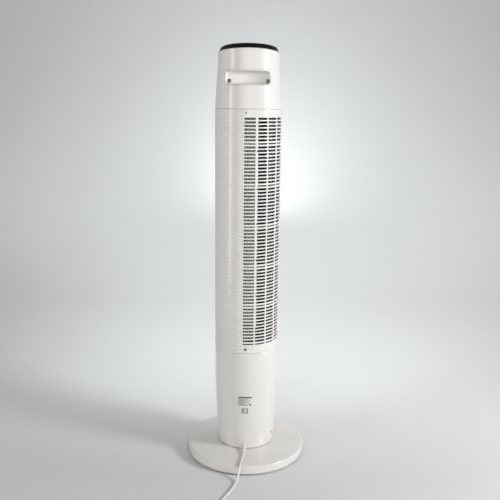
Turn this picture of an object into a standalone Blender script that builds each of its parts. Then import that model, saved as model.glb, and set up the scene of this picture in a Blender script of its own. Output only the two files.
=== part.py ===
"""Tower fan: a column that oscillates on a round base, with a cross-flow impeller.

Lengths are in millimetres and are scaled to metres as each mesh is made.
The column's axis is Z, the front (outlet) faces -Y and the rear (intake) faces +Y.
Angles round the column are measured from the rear centre towards -X, in degrees.
"""

import math

import bmesh
import bpy
from mathutils import Matrix, Vector

MM = 0.001
GAP = 0.3

# Base
BASE_RADIUS = 147.3
BASE_WALL_BOTTOM = 4.4
BASE_WALL_TOP = 24.4
BASE_CROWN_RADIUS = 72.0
BASE_CROWN_HEIGHT = 30.0
BASE_WALL = 2.5
BASE_HOLE_RADIUS = 40.0
FOOT_RADIUS = 9.0
FOOT_CENTRE_RADIUS = 135.0
FOOT_ANGLES = (45.0, 135.0, 225.0, 315.0)

# Column
COLUMN_RADIUS = 78.0
COLUMN_BOTTOM = 30.8
TAPER_END = 210.0
TAPER_DROP = 7.8
COVER_BOTTOM = 283.0
COVER_TOP = 860.0
COVER_RADIUS = 78.4
HEAD_TAPER_START = 850.0
HEAD_TAPER_END = 990.0
HEAD_DROP = 7.3
SHELL_WALL = 2.2
COVER_WALL = 2.4
RIM_HEIGHT = 985.0
RIM_BLEND_START = 950.0
TOP_TILT = 6.5
SEAM_ANGLE = 100.0

# Grilles
SLOT_PITCH = 7.94
SLOT_TOP_ROW = 839.2
SLOT_ROWS = 68
SLOT_HEIGHT = 4.8
THIN_SLOT_HEIGHT = 3.1
THIN_ROW_FIRST = 7
THIN_ROW_STEP = 12
REAR_SLOT_START = -4.6
REAR_SLOT_PITCH = 21.5
REAR_SLOT_WIDTH = 19.0
SLOT_COLUMNS = 4
FRONT_SLOT_PITCH = 7.0
FRONT_SLOT_WIDTH = 4.9
FRONT_SLOT_COLUMNS = 13
FRONT_ROWS = 6
FRONT_ROW_PITCH = 92.0
FRONT_SLOT_HEIGHT = 86.0

# Impeller and its motor
IMPELLER_X = 21.0
IMPELLER_Y = -6.0
IMPELLER_RADIUS = 41.0
BLADE_DEPTH = 8.0
BLADE_COUNT = 20
BLADE_SHARE = 0.16
CAGE_BOTTOM = 295.0
CAGE_TOP = 845.0
CAGE_SECTIONS = 3
RING_HEIGHT = 2.0
SHAFT_RADIUS = 4.0
MOTOR_RADIUS = 40.0
MOTOR_BOTTOM = 193.3

# Oscillation drive
GEAR_MODULE = 1.5
SECTOR_TEETH = 45
PINION_TEETH = 15
GEAR_Z = (39.0, 45.0)

# Handle pocket
POCKET_HALF_WIDTH = 53.0
POCKET_Z = (912.0, 946.0)
POCKET_CORNER = 11.0
POCKET_BACK = 38.0
POCKET_RISE = 10.5
POCKET_WALL = 2.2
HANDLE_SCREW_LEFT = 42.0
HANDLE_SCREW_RIGHT = -45.0
HANDLE_SCREW_Z = 922.0

# Top panel
BUTTON_PLACES = ((-33.0, -24.0), (-11.0, -27.0), (11.0, -27.0), (33.0, -24.0))
BUTTON_RADIUS = 6.5
DISPLAY_Y = 12.0
DISPLAY_SIZE = (46.0, 20.0)

# Cord
CORD_RADIUS = 3.0
COIL_CENTRE = (96.0, 341.0)
COIL_MEAN_RADIUS = 34.0
COIL_HALF_WIDTH = 9.3
COIL_HEIGHT = 12.4
PLUG_LENGTH = 34.0
TAIL_ROUTE = (
    (73.0, 300.0, 9.5),
    (64.0, 300.0, 9.7),
    (55.0, 300.0, 9.7),
    (46.0, 300.0, 8.5),
    (36.6, 300.0, 7.0),
)
CORD_ROUTE = (
    (0.4, 98.9, 32.9),
    (2.4, 110.0, 31.2),
    (4.2, 122.0, 29.9),
    (5.5, 133.0, 28.95),
    (6.3, 140.0, 28.6),
    (7.1, 145.5, 27.8),
    (8.0, 150.6, 25.8),
    (8.8, 155.3, 22.8),
    (9.6, 159.3, 19.0),
    (10.7, 164.6, 12.8),
    (11.8, 168.9, 8.8),
    (13.0, 173.9, 5.75),
    (14.4, 179.5, 3.85),
    (15.9, 185.4, 3.2),
    (18.0, 194.0, 3.2),
    (21.4, 206.0, 3.2),
    (26.4, 219.0, 3.2),
    (33.6, 236.0, 3.2),
    (41.6, 254.0, 3.2),
    (48.6, 272.0, 3.2),
    (53.4, 290.0, 3.2),
    (55.6, 306.0, 3.2),
    (56.0, 317.0, 3.2),
)

SEGMENTS = 40
INNER_SEGMENTS = 24
SMALL_SEGMENTS = 14
HALF_STEPS = 20

FINISHES = {
    "white_plastic": ((0.84, 0.83, 0.81), 0.28, 0.0),
    "pale_plastic": ((0.72, 0.72, 0.71), 0.45, 0.0),
    "grey_plastic": ((0.35, 0.35, 0.36), 0.5, 0.0),
    "black_gloss": ((0.012, 0.012, 0.013), 0.12, 0.0),
    "black_plastic": ((0.03, 0.03, 0.032), 0.45, 0.0),
    "smoked_lens": ((0.02, 0.02, 0.025), 0.06, 0.0),
    "rubber": ((0.62, 0.61, 0.59), 0.8, 0.0),
    "dark_rubber": ((0.04, 0.04, 0.04), 0.85, 0.0),
    "steel": ((0.52, 0.52, 0.53), 0.35, 1.0),
    "dark_screw": ((0.12, 0.11, 0.11), 0.4, 1.0),
    "cast_iron": ((0.1, 0.1, 0.1), 0.7, 1.0),
    "laminated_steel": ((0.3, 0.3, 0.32), 0.5, 1.0),
    "acetal": ((0.8, 0.8, 0.77), 0.4, 0.0),
    "bronze": ((0.55, 0.36, 0.18), 0.4, 1.0),
    "circuit_board": ((0.03, 0.16, 0.07), 0.5, 0.0),
    "white_cord": ((0.8, 0.79, 0.77), 0.5, 0.0),
    "nickel": ((0.7, 0.68, 0.64), 0.2, 1.0),
}


# ---------------------------------------------------------------- helpers


def clear_scene():
    for obj in list(bpy.data.objects):
        bpy.data.objects.remove(obj, do_unlink=True)


def finish_material(name, finish):
    """Principled material of one sub-part."""
    colour, roughness, metallic = FINISHES[finish]
    material = bpy.data.materials.new(f"{name}_{finish}")
    material.use_nodes = True
    shader = material.node_tree.nodes["Principled BSDF"]
    shader.inputs["Base Color"].default_value = (*colour, 1.0)
    shader.inputs["Roughness"].default_value = roughness
    shader.inputs["Metallic"].default_value = metallic
    material.diffuse_color = (*colour, 1.0)
    return material


def make_object(name, bm, finish, at=(0, 0, 0), parent=None):
    """Turn a bmesh in millimetres into a named object in metres."""
    bmesh.ops.scale(bm, vec=(MM, MM, MM), verts=bm.verts)
    bmesh.ops.recalc_face_normals(bm, faces=bm.faces)
    mesh = bpy.data.meshes.new(name)
    bm.to_mesh(mesh)
    bm.free()
    mesh.shade_smooth()
    mesh.set_sharp_from_angle(angle=math.radians(32))
    if finish:
        mesh.materials.append(finish_material(name, finish))
    obj = bpy.data.objects.new(name, mesh)
    bpy.context.collection.objects.link(obj)
    obj.location = Vector(at) * MM
    obj.parent = parent
    return obj


def make_cutter(name, bm, at=(0, 0, 0), parent=None):
    """Hidden tool shape for a Boolean."""
    cutter = make_object(name, bm, None, at, parent)
    cutter.hide_render = True
    cutter.display_type = "WIRE"
    return cutter


def boolean(obj, tool, operation="DIFFERENCE"):
    modifier = obj.modifiers.new(f"{operation.lower()}_{tool.name}", "BOOLEAN")
    modifier.object = tool
    modifier.operation = operation
    modifier.solver = "EXACT"


def make_empty(name, at=(0, 0, 0), tilt=0.0, parent=None):
    empty = bpy.data.objects.new(name, None)
    bpy.context.collection.objects.link(empty)
    empty.location = Vector(at) * MM
    empty.rotation_euler = (math.radians(tilt), 0.0, 0.0)
    empty.parent = parent
    return empty


def add_face(bm, corners):
    """Face through the corners, each corner counted once."""
    distinct = list(dict.fromkeys(corners))
    if len(distinct) > 2:
        bm.faces.new(distinct)


def turned(outline, segments=SEGMENTS):
    """Revolve a closed outline of (radius, height) points about Z."""
    bm = bmesh.new()
    rings = []
    for radius, height in outline:
        count = segments if radius > 0 else 1
        ring = []
        for i in range(count):
            angle = 2 * math.pi * i / segments
            ring.append(bm.verts.new((radius * math.cos(angle), radius * math.sin(angle), height)))
        rings.append(ring)
    for low, high in zip(rings, rings[1:] + rings[:1]):
        for i in range(segments):
            j = i + 1
            a, b = low[i % len(low)], low[j % len(low)]
            c, d = high[j % len(high)], high[i % len(high)]
            add_face(bm, (a, b, c, d))
    return bm


def ring_outline(inner, outer, bottom, top):
    return [(inner, bottom), (outer, bottom), (outer, top), (inner, top)]


def prism(outline, bottom, top):
    """Extrude a closed outline of (x, y) points from one height to another."""
    bm = bmesh.new()
    low = [bm.verts.new((x, y, bottom)) for x, y in outline]
    high = [bm.verts.new((x, y, top)) for x, y in outline]
    bm.faces.new(low)
    bm.faces.new(high)
    count = len(outline)
    for i in range(count):
        j = (i + 1) % count
        bm.faces.new((low[i], low[j], high[j], high[i]))
    return bm


def box(low, high):
    outline = [(low[0], low[1]), (high[0], low[1]), (high[0], high[1]), (low[0], high[1])]
    return prism(outline, low[2], high[2])


def arc(centre, radius, start, end, steps):
    """Points on an arc, with plain angles from +X in degrees."""
    points = []
    for i in range(steps + 1):
        angle = math.radians(start + (end - start) * i / steps)
        points.append((centre[0] + radius * math.cos(angle), centre[1] + radius * math.sin(angle)))
    return points


def rounded_rectangle(width, depth, corner, steps=4):
    """Outline centred on the origin."""
    x = width / 2 - corner
    y = depth / 2 - corner
    outline = []
    for centre, start in (((x, y), 0), ((-x, y), 90), ((-x, -y), 180), ((x, -y), 270)):
        outline += arc(centre, corner, start, start + 90, steps)
    return outline


def around(angle, radius):
    """Point of the column's plan at an angle from the rear centre."""
    turn = math.radians(angle)
    return -radius * math.sin(turn), radius * math.cos(turn)


def smoothstep(value, start, end):
    t = min(max((value - start) / (end - start), 0.0), 1.0)
    return t * t * (3 - 2 * t)


def column_radius(height):
    """Outer radius of the smooth housings."""
    foot = max(TAPER_END - height, 0.0) / (TAPER_END - BASE_CROWN_HEIGHT)
    head = smoothstep(height, HEAD_TAPER_START, HEAD_TAPER_END)
    return COLUMN_RADIUS - TAPER_DROP * foot**1.4 - HEAD_DROP * head


def curved_wall(angles, heights, outer, inner, is_open=None, lift=None, closed=False):
    """Wall round the Z axis, with one cell per step of angle and height.

    outer and inner give the radii at a height, is_open(i, j) leaves a cell out,
    and lift(height, y) raises the points, for a slanting rim.
    """
    bm = bmesh.new()
    grid = {}

    def vertex(side, i, j):
        i = i % len(angles) if closed else i
        if (side, i, j) not in grid:
            radius = (outer, inner)[side](heights[j])
            x, y = around(angles[i], radius)
            rise = lift(heights[j], y) if lift else 0.0
            grid[side, i, j] = bm.verts.new((x, y, heights[j] + rise))
        return grid[side, i, j]

    columns = len(angles) if closed else len(angles) - 1
    rows = len(heights) - 1

    def solid(i, j):
        i = i % columns if closed else i
        inside = 0 <= i < columns and 0 <= j < rows
        return inside and not (is_open and is_open(i, j))

    for i in range(columns):
        for j in range(rows):
            if not solid(i, j):
                continue
            corners = ((i, j), (i + 1, j), (i + 1, j + 1), (i, j + 1))
            for side in (0, 1):
                bm.faces.new([vertex(side, *corner) for corner in corners])
            sides = ((i, j - 1), (i + 1, j), (i, j + 1), (i - 1, j))
            for k, neighbour in enumerate(sides):
                if not solid(*neighbour):
                    p, q = corners[k], corners[(k + 1) % 4]
                    bm.faces.new((vertex(0, *p), vertex(0, *q), vertex(1, *q), vertex(1, *p)))
    return bm


def span(start, end, steps):
    return [start + (end - start) * i / steps for i in range(steps + 1)]


def offset(radius_of, distance):
    """Radius function moved inwards."""
    return lambda height: radius_of(height) - distance


def radial_pose(angle, height, radius):
    """Matrix that points local Z outwards from the column at an angle and height."""
    x, y = around(angle, radius)
    outward = Vector((x, y, 0)).normalized()
    turn = outward.to_track_quat("Z", "Y").to_matrix().to_4x4()
    return Matrix.Translation((x, y, height)) @ turn


def rear_pose(x, y, height):
    """Matrix that points local Z straight to the rear."""
    return Matrix.Translation((x, y, height)) @ Matrix.Rotation(math.radians(-90), 4, "X")


def screw_body():
    """Pan-head screw along Z, its head's rim at the origin."""
    return turned([(0, -12), (1.6, -12), (1.6, 0), (4, 0), (4, 1.6), (2.8, 2.7), (0, 2.7)], 10)


# ---------------------------------------------------------------- base


def build_base(parent):
    shoulder = 4.0
    edge_z = BASE_WALL_TOP - shoulder
    inner = BASE_RADIUS - BASE_WALL
    outline = [(BASE_RADIUS, BASE_WALL_BOTTOM)]
    outline += arc((BASE_RADIUS - shoulder, edge_z), shoulder, 0, 86, 3)
    outline += [
        (110.0, 27.6),
        (BASE_CROWN_RADIUS, BASE_CROWN_HEIGHT),
        (BASE_HOLE_RADIUS, BASE_CROWN_HEIGHT),
        (BASE_HOLE_RADIUS, BASE_CROWN_HEIGHT - BASE_WALL),
        (BASE_CROWN_RADIUS, BASE_CROWN_HEIGHT - BASE_WALL),
        (inner - 2, BASE_WALL_TOP - BASE_WALL),
        (inner, edge_z),
        (inner, BASE_WALL_BOTTOM),
    ]
    make_object("base_cover", turned(outline), "white_plastic", parent=parent)

    plate = turned(ring_outline(28.0, inner - 1.0, 5.0, 7.0), 32)
    make_object("base_plate", plate, "grey_plastic", parent=parent)
    ballast = turned(ring_outline(60.0, 122.0, 7.3, 14.0), INNER_SEGMENTS)
    make_object("ballast_plate", ballast, "cast_iron", parent=parent)

    for number, angle in enumerate(FOOT_ANGLES, 1):
        foot = turned([(0, 0), (8.0, 0), (FOOT_RADIUS, 1.0), (FOOT_RADIUS, 4.7), (0, 4.7)], SMALL_SEGMENTS)
        place = (*around(angle, FOOT_CENTRE_RADIUS), 0)
        make_object(f"foot_{number}", foot, "rubber", place, parent)

    spigot = [(30, 7.3), (52, 7.3), (52, 10.3), (34, 10.3), (34, 35.4), (30, 35.4)]
    make_object("neck_spigot", turned(spigot, INNER_SEGMENTS), "grey_plastic", parent=parent)
    washer = turned(ring_outline(46.0, 60.0, 30.3, 31.8), INNER_SEGMENTS)
    make_object("thrust_washer", washer, "acetal", parent=parent)
    ring = turned(ring_outline(26.0, 44.0, 35.7, 38.7), INNER_SEGMENTS)
    make_object("retaining_ring", ring, "steel", parent=parent)
    build_sector_gear(parent)


def involute_outline(teeth, addendum, dedendum, backlash, turn, cut=None):
    """Outline of a spur gear, with the first tooth at an angle in radians.

    cut is the first tooth and the last that stay; the rest is turned down to the root.
    """
    pitch = GEAR_MODULE * teeth / 2
    pressure = math.radians(20)
    base = pitch * math.cos(pressure)
    tip = pitch + addendum * GEAR_MODULE
    root = pitch - dedendum * GEAR_MODULE
    half_at_pitch = math.pi / (2 * teeth) - backlash / (2 * pitch)

    def half_angle(radius):
        """Half of the tooth's thickness at a radius, as an angle."""
        roll = math.acos(min(base / max(radius, base), 1.0))
        shift = math.tan(pressure) - pressure - (math.tan(roll) - roll)
        return half_at_pitch + shift

    radii = [root, max(root + 0.3, base), pitch, tip]
    outline = []
    for tooth in range(teeth):
        middle = turn + 2 * math.pi * tooth / teeth
        if cut and not cut[0] <= tooth <= cut[1]:
            outline.append((root * math.cos(middle), root * math.sin(middle)))
            continue
        flanks = [(r, middle - half_angle(r)) for r in radii]
        flanks += [(r, middle + half_angle(r)) for r in reversed(radii)]
        outline += [(r * math.cos(a), r * math.sin(a)) for r, a in flanks]
    return outline


def gear_centre_distance():
    return GEAR_MODULE * (SECTOR_TEETH + PINION_TEETH) / 2


def build_sector_gear(parent):
    """Fixed gear round the neck, toothed at the front only, with a gap facing the pinion."""
    side_teeth = 8
    half_tooth = math.pi / SECTOR_TEETH
    turn = math.radians(-90) - half_tooth * (2 * side_teeth - 1)
    outline = involute_outline(SECTOR_TEETH, 0.8, 1.05, 0.3, turn, (0, 2 * side_teeth - 1))
    teeth = prism(outline, *GEAR_Z)
    gear = make_object("sector_gear", teeth, "acetal", parent=parent)
    bore = make_cutter("sector_gear_bore", turned(ring_outline(0, 26.0, 30, 50), INNER_SEGMENTS), parent=parent)
    boolean(gear, bore)


# ---------------------------------------------------------------- column


def build_lower_housing(parent):
    heights = [COLUMN_BOTTOM, 55.0, 90.0, 140.0, 200.0, COVER_BOTTOM - 1.0]
    seam = math.degrees(0.5 * GAP / COLUMN_RADIUS)
    inner = offset(column_radius, SHELL_WALL)
    rear_angles = span(-90 + seam, 90 - seam, HALF_STEPS)
    front_angles = span(90 + seam, 270 - seam, HALF_STEPS)
    rear = curved_wall(rear_angles, heights, column_radius, inner)
    shell = make_object("lower_shell_rear", rear, "white_plastic", parent=parent)
    front = curved_wall(front_angles, heights, column_radius, inner)
    make_object("lower_shell_front", front, "white_plastic", parent=parent)

    boolean(shell, make_cutter("cord_notch", box((-5.5, 60, 33), (5.5, 80, 44.5)), parent=parent))
    for side, angle in (("left", -67.0), ("right", 67.0)):
        height = 56.0
        pose = radial_pose(angle, height, column_radius(height) - 3.4)
        hole = turned(ring_outline(0, 4.4, -6, 12), 12)
        hole.transform(pose)
        boolean(shell, make_cutter(f"lower_screw_hole_{side}", hole, parent=parent))
        screw = screw_body()
        screw.transform(pose)
        make_object(f"lower_screw_{side}", screw, "dark_screw", parent=parent)


def build_column_floor(parent):
    """Floor that turns on the thrust washer, with two posts for the drive motor's plate."""
    floor = make_object("column_floor", turned(ring_outline(36.0, 66.8, 32.1, 35.1), 32), "grey_plastic", parent=parent)
    for side in (-1, 1):
        post = turned(ring_outline(0, 4.0, 34.0, 48.2), 12)
        bmesh.ops.translate(post, vec=(side * 26.0, -50.0, 0), verts=post.verts)
        tool = make_cutter(f"floor_post_{side + 2}", post, parent=parent)
        boolean(floor, tool, "UNION")


def build_oscillation_drive(parent):
    distance = gear_centre_distance()
    plate = make_object("osc_motor_plate", box((-31, -58, 48.5), (31, -30, 50.5)), "steel", parent=parent)
    hole = turned(ring_outline(0, 5.0, 40, 60), SMALL_SEGMENTS)
    boolean(plate, make_cutter("osc_plate_hole", hole, (0, -distance, 0), parent))

    can = turned([(0, 50.8), (22, 50.8), (22, 65.8), (20.8, 67.0), (0, 67.0)], 24)
    motor = make_object("osc_motor", can, "steel", (0, -44, 0), parent)
    shaft_bore = turned(ring_outline(0, 3.6, 45, 56), SMALL_SEGMENTS)
    boolean(motor, make_cutter("osc_motor_bore", shaft_bore, (0, -distance, 0), parent))


def build_pinion(pivot):
    """Pinion on the drive motor's shaft, with one tooth pointing at the column's axis."""
    outline = involute_outline(PINION_TEETH, 0.8, 1.05, 0.3, math.radians(90))
    pinion = make_object("osc_pinion", prism(outline, *GEAR_Z), "acetal", parent=pivot)
    pinion.location = (0, 0, -GEAR_Z[0] * MM)
    shaft = turned(ring_outline(0, 3.0, 40, 54), SMALL_SEGMENTS)
    tool = make_cutter("pinion_shaft", shaft, (0, 0, -GEAR_Z[0]), pivot)
    boolean(pinion, tool, "UNION")


def slot_heights(top_row, pitch, rows, height_of):
    """Edges of the slots of one column, from the bottom up."""
    edges = []
    for row in reversed(range(rows)):
        middle = top_row - pitch * row
        half = height_of(row) / 2
        edges += [middle - half, middle + half]
    return edges


def rear_slot_height(row):
    thin = row % THIN_ROW_STEP == THIN_ROW_FIRST
    return THIN_SLOT_HEIGHT if thin else SLOT_HEIGHT


def slotted_cover(edges, slots, plain_left, plain_right, bottom, top):
    """Curved cover whose slot columns share the same slot edges.

    The plain strips beside the slots are single tall faces, so that only the
    slotted field carries the fine division.
    """
    bm = bmesh.new()
    heights = [bottom] + edges + [top]
    radii = (COVER_RADIUS, COVER_RADIUS - COVER_WALL)
    slot_lines = [line for slot in slots for line in slot]

    def line(angle, levels):
        """Matching outer and inner vertices of one upright line."""
        made = []
        for radius in radii:
            x, y = around(angle, radius)
            made.append([bm.verts.new((x, y, z)) for z in levels])
        return made

    left = [line(angle, (bottom, top)) for angle in plain_left]
    fine = [line(angle, heights) for angle in slot_lines]
    right = [line(angle, (bottom, top)) for angle in plain_right]
    uprights = left + fine + right

    for index, (one, two) in enumerate(zip(uprights, uprights[1:])):
        number = index - len(left)
        slotted = 0 <= number < len(fine) - 1 and number % 2 == 0
        if not slotted:
            for side in (0, 1):
                bm.faces.new(one[side] + two[side][::-1])
            for end in (0, -1):
                bm.faces.new((one[0][end], two[0][end], two[1][end], one[1][end]))
            continue
        for j in range(len(heights) - 1):
            is_slot = j % 2 == 1
            if is_slot:
                for side in (one, two):
                    bm.faces.new((side[0][j], side[0][j + 1], side[1][j + 1], side[1][j]))
                continue
            for side in (0, 1):
                bm.faces.new((one[side][j], two[side][j], two[side][j + 1], one[side][j + 1]))
            for level in (j, j + 1):
                bm.faces.new((one[0][level], two[0][level], two[1][level], one[1][level]))
    for end in (uprights[0], uprights[-1]):
        bm.faces.new(end[0] + end[1][::-1])
    return bm


def build_rear_cover(parent):
    edges = slot_heights(SLOT_TOP_ROW, SLOT_PITCH, SLOT_ROWS, rear_slot_height)
    slots = []
    for column in range(SLOT_COLUMNS):
        start = REAR_SLOT_START + REAR_SLOT_PITCH * column
        slots.append((start, start + REAR_SLOT_WIDTH))
    seam = math.degrees(0.5 * GAP / COVER_RADIUS)
    left = span(-SEAM_ANGLE + seam, -10.0, 10)
    right = span(86.0, SEAM_ANGLE - seam, 2)
    mesh = slotted_cover(edges, slots, left, right, COVER_BOTTOM, COVER_TOP)
    cover = make_object("rear_cover", mesh, "white_plastic", parent=parent)
    for place, angle, height in (("upper", -2.0, 852.0), ("lower", 0.0, 294.0)):
        pose = radial_pose(angle, height, COVER_RADIUS - 2.6)
        hole = turned(ring_outline(0, 4.4, -8, 12), 12)
        hole.transform(pose)
        boolean(cover, make_cutter(f"cover_screw_hole_{place}", hole, parent=parent))
        screw = screw_body()
        screw.transform(pose)
        make_object(f"cover_screw_{place}", screw, "dark_screw", parent=parent)


def build_front_grille(parent):
    middle = (COVER_BOTTOM + COVER_TOP) / 2
    top_row = middle + FRONT_ROW_PITCH * (FRONT_ROWS - 1) / 2
    edges = slot_heights(top_row, FRONT_ROW_PITCH, FRONT_ROWS, lambda row: FRONT_SLOT_HEIGHT)
    slots = []
    for column in range(FRONT_SLOT_COLUMNS):
        centre = 180 + FRONT_SLOT_PITCH * (column - (FRONT_SLOT_COLUMNS - 1) / 2)
        slots.append((centre - FRONT_SLOT_WIDTH / 2, centre + FRONT_SLOT_WIDTH / 2))
    seam = math.degrees(0.5 * GAP / COVER_RADIUS)
    left = span(SEAM_ANGLE + seam, slots[0][0] - 3.0, 4)
    right = span(slots[-1][1] + 3.0, 360 - SEAM_ANGLE - seam, 4)
    mesh = slotted_cover(edges, slots, left, right, COVER_BOTTOM, COVER_TOP)
    make_object("front_grille", mesh, "white_plastic", parent=parent)


def rim_lift(height, y):
    """Extra height that slants the head's rim down to the front."""
    share = max(height - RIM_BLEND_START, 0.0) / (RIM_HEIGHT - RIM_BLEND_START)
    return y * math.tan(math.radians(TOP_TILT)) * share


def pocket_back(x):
    """How far to the rear the scoop's back wall stands at a distance from the centre."""
    return POCKET_BACK + POCKET_RISE * (x / 50.0) ** 2


def scoop(half_width, low, high, corner, back, front):
    """Block with rounded ends whose back follows a curve in plan."""
    bm = bmesh.new()
    stations = []
    for x, drop in arc((0, 0), corner, 180, 90, 4):
        stations.append((-half_width + corner + x, corner - drop))
    stations += [(x, 0.0) for x in span(-half_width + corner, half_width - corner, 10)[1:-1]]
    stations += [(-x, drop) for x, drop in reversed(stations[:5])]
    frames = []
    for x, drop in stations:
        corners = ((back(x), low + drop), (front, low + drop), (front, high - drop), (back(x), high - drop))
        frames.append([bm.verts.new((x, y, z)) for y, z in corners])
    for one, two in zip(frames, frames[1:]):
        for k in range(4):
            n = (k + 1) % 4
            bm.faces.new((one[k], one[n], two[n], two[k]))
    bm.faces.new(frames[0])
    bm.faces.new(frames[-1])
    return bm


def build_head(parent):
    heights = [COVER_TOP + 0.5, 884.0, 904.0, 926.0, RIM_BLEND_START, 966.0, RIM_HEIGHT]
    seam = math.degrees(0.5 * GAP / COLUMN_RADIUS)
    inner = offset(column_radius, SHELL_WALL)
    rear = curved_wall(span(-90 + seam, 90 - seam, HALF_STEPS), heights, column_radius, inner, lift=rim_lift)
    shell = make_object("head_shell_rear", rear, "white_plastic", parent=parent)
    front = curved_wall(span(90 + seam, 270 - seam, HALF_STEPS), heights, column_radius, inner, lift=rim_lift)
    make_object("head_shell_front", front, "white_plastic", parent=parent)
    window = scoop(POCKET_HALF_WIDTH, *POCKET_Z, POCKET_CORNER, lambda x: 20.0, 95.0)
    boolean(shell, make_cutter("pocket_window", window, parent=parent))
    build_pocket(parent)


def build_pocket(parent):
    low, high = POCKET_Z
    edge = 0.4
    outer = scoop(
        POCKET_HALF_WIDTH - edge,
        low + edge,
        high - edge,
        POCKET_CORNER - edge,
        lambda x: pocket_back(x) - 2.5,
        95.0,
    )
    pocket = make_object("handle_pocket", outer, "white_plastic", parent=parent)
    heights = span(900.0, 960.0, 6)
    core = [(0, heights[0])] + [(column_radius(z), z) for z in heights] + [(0, heights[-1])]
    boolean(pocket, make_cutter("pocket_trim", turned(core), parent=parent), "INTERSECT")
    wall = edge + POCKET_WALL
    cavity = scoop(
        POCKET_HALF_WIDTH - wall, low + wall, high - wall, POCKET_CORNER - wall, pocket_back, 100.0
    )
    boolean(pocket, make_cutter("pocket_cavity", cavity, parent=parent))
    for side, x in (("left", HANDLE_SCREW_LEFT), ("right", HANDLE_SCREW_RIGHT)):
        pose = rear_pose(x, pocket_back(x) + 1.0, HANDLE_SCREW_Z)
        hole = turned(ring_outline(0, 4.4, -30, 12), 12)
        hole.transform(pose)
        boolean(pocket, make_cutter(f"handle_screw_hole_{side}", hole, parent=parent))
        screw = screw_body()
        screw.transform(pose)
        make_object(f"handle_screw_{side}", screw, "dark_screw", parent=parent)


# ---------------------------------------------------------------- top panel


def build_top(plane):
    """Bezel, panel, lens and board, in the frame of the slanting rim."""
    outline = [(68.0, -3.0), (68.0, 0.4), (69.8, 0.4), (69.8, 1.4), (67.6, 1.9)]
    outline += [(67.3, 7.2), (65.8, 9.9), (62.3, 11.5), (59.7, 11.5), (59.7, 6.2)]
    outline += [(55.0, 6.2), (55.0, 3.7), (65.5, -3.0)]
    make_object("top_bezel", turned(outline), "black_gloss", parent=plane)

    panel = make_object("control_panel", turned(ring_outline(0, 59.4, 6.5, 9.6)), "black_gloss", parent=plane)
    window = prism(rounded_rectangle(*DISPLAY_SIZE, 3.0), 0, 20)
    boolean(panel, make_cutter("display_window", window, (0, DISPLAY_Y, 0), plane))
    lens_outline = rounded_rectangle(DISPLAY_SIZE[0] - 2 * GAP, DISPLAY_SIZE[1] - 2 * GAP, 2.7)
    lens = prism(lens_outline, 7.0, 9.5)
    make_object("display_lens", lens, "smoked_lens", (0, DISPLAY_Y, 0), plane)

    board = make_object("control_board", box((-46, -40, -2.5), (46, 28, -0.9)), "circuit_board", parent=plane)
    module = box((-20, DISPLAY_Y - 7, -1.5), (20, DISPLAY_Y + 7, 6.0))
    boolean(board, make_cutter("display_module", module, parent=plane), "UNION")
    for number, (x, y) in enumerate(BUTTON_PLACES, 1):
        hole = turned(ring_outline(0, BUTTON_RADIUS + 0.4, 0, 20), SMALL_SEGMENTS)
        boolean(panel, make_cutter(f"button_hole_{number}", hole, (x, y, 0), plane))
        switch = box((x - 3, y - 3, -1.5), (x + 3, y + 3, 3.0))
        boolean(board, make_cutter(f"switch_{number}", switch, parent=plane), "UNION")
        build_button(number, x, y, plane)


def build_button(number, x, y, plane):
    """Push button that slides down on its switch, held under the panel by its flange."""
    rim = BUTTON_RADIUS
    outline = [(0, 0), (8.2, 0), (8.2, 1.9), (rim, 1.9), (rim, 5.7), (rim - 0.6, 6.2), (0, 5.9)]
    button = turned(outline, SMALL_SEGMENTS)
    make_object(f"button_{number}", button, "black_plastic", (x, y, 4.3), plane)


# ---------------------------------------------------------------- motor and impeller


def build_motor_mount(parent):
    disc = turned(ring_outline(0, 74.6, 190.0, 193.0), 32)
    plate = make_object("motor_mount_plate", disc, "steel", parent=parent)
    bore = turned(ring_outline(0, 12.0, 180, 200), 24)
    boolean(plate, make_cutter("motor_plate_bore", bore, (IMPELLER_X, IMPELLER_Y, 0), parent))
    wire_way = box((-52, 20, 180), (-36, 36, 200))
    boolean(plate, make_cutter("motor_plate_wire_way", wire_way, parent=parent))

    axis = (IMPELLER_X, IMPELLER_Y, 0)
    bottom = MOTOR_BOTTOM
    wall = MOTOR_RADIUS
    lower = [
        (SHAFT_RADIUS + 0.4, bottom),
        (wall - 3, bottom),
        (wall, bottom + 3),
        (wall, bottom + 21.0),
        (wall - 2.5, bottom + 21.0),
        (wall - 2.5, bottom + 3.5),
        (SHAFT_RADIUS + 0.4, bottom + 6),
    ]
    make_object("motor_bracket_lower", turned(lower, INNER_SEGMENTS), "steel", axis, parent)
    stator = turned(ring_outline(23.6, wall, bottom + 21.3, bottom + 51.0), INNER_SEGMENTS)
    make_object("stator_core", stator, "laminated_steel", axis, parent)
    top = 2 * bottom + 72.3
    upper = [(radius, top - height) for radius, height in lower]
    make_object("motor_bracket_upper", turned(upper, INNER_SEGMENTS), "steel", axis, parent)


def build_electrics(parent):
    board = make_object("power_board", box((-42, -52, 84), (42, -50.4, 146)), "circuit_board", parent=parent)
    parts = (
        ("transformer", (-34, -51, 92), (-10, -34, 118)),
        ("relay", (0, -51, 94), (16, -36, 108)),
        ("terminal", (22, -51, 94), (38, -40, 104)),
        ("filter", (0, -51, 118), (24, -39, 132)),
    )
    for name, low, high in parts:
        boolean(board, make_cutter(f"board_{name}", box(low, high), parent=parent), "UNION")
    case = prism(rounded_rectangle(38.0, 18.0, 3.0, 2), 150.0, 182.0)
    make_object("motor_capacitor", case, "black_plastic", (-24, 44, 0), parent)


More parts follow.
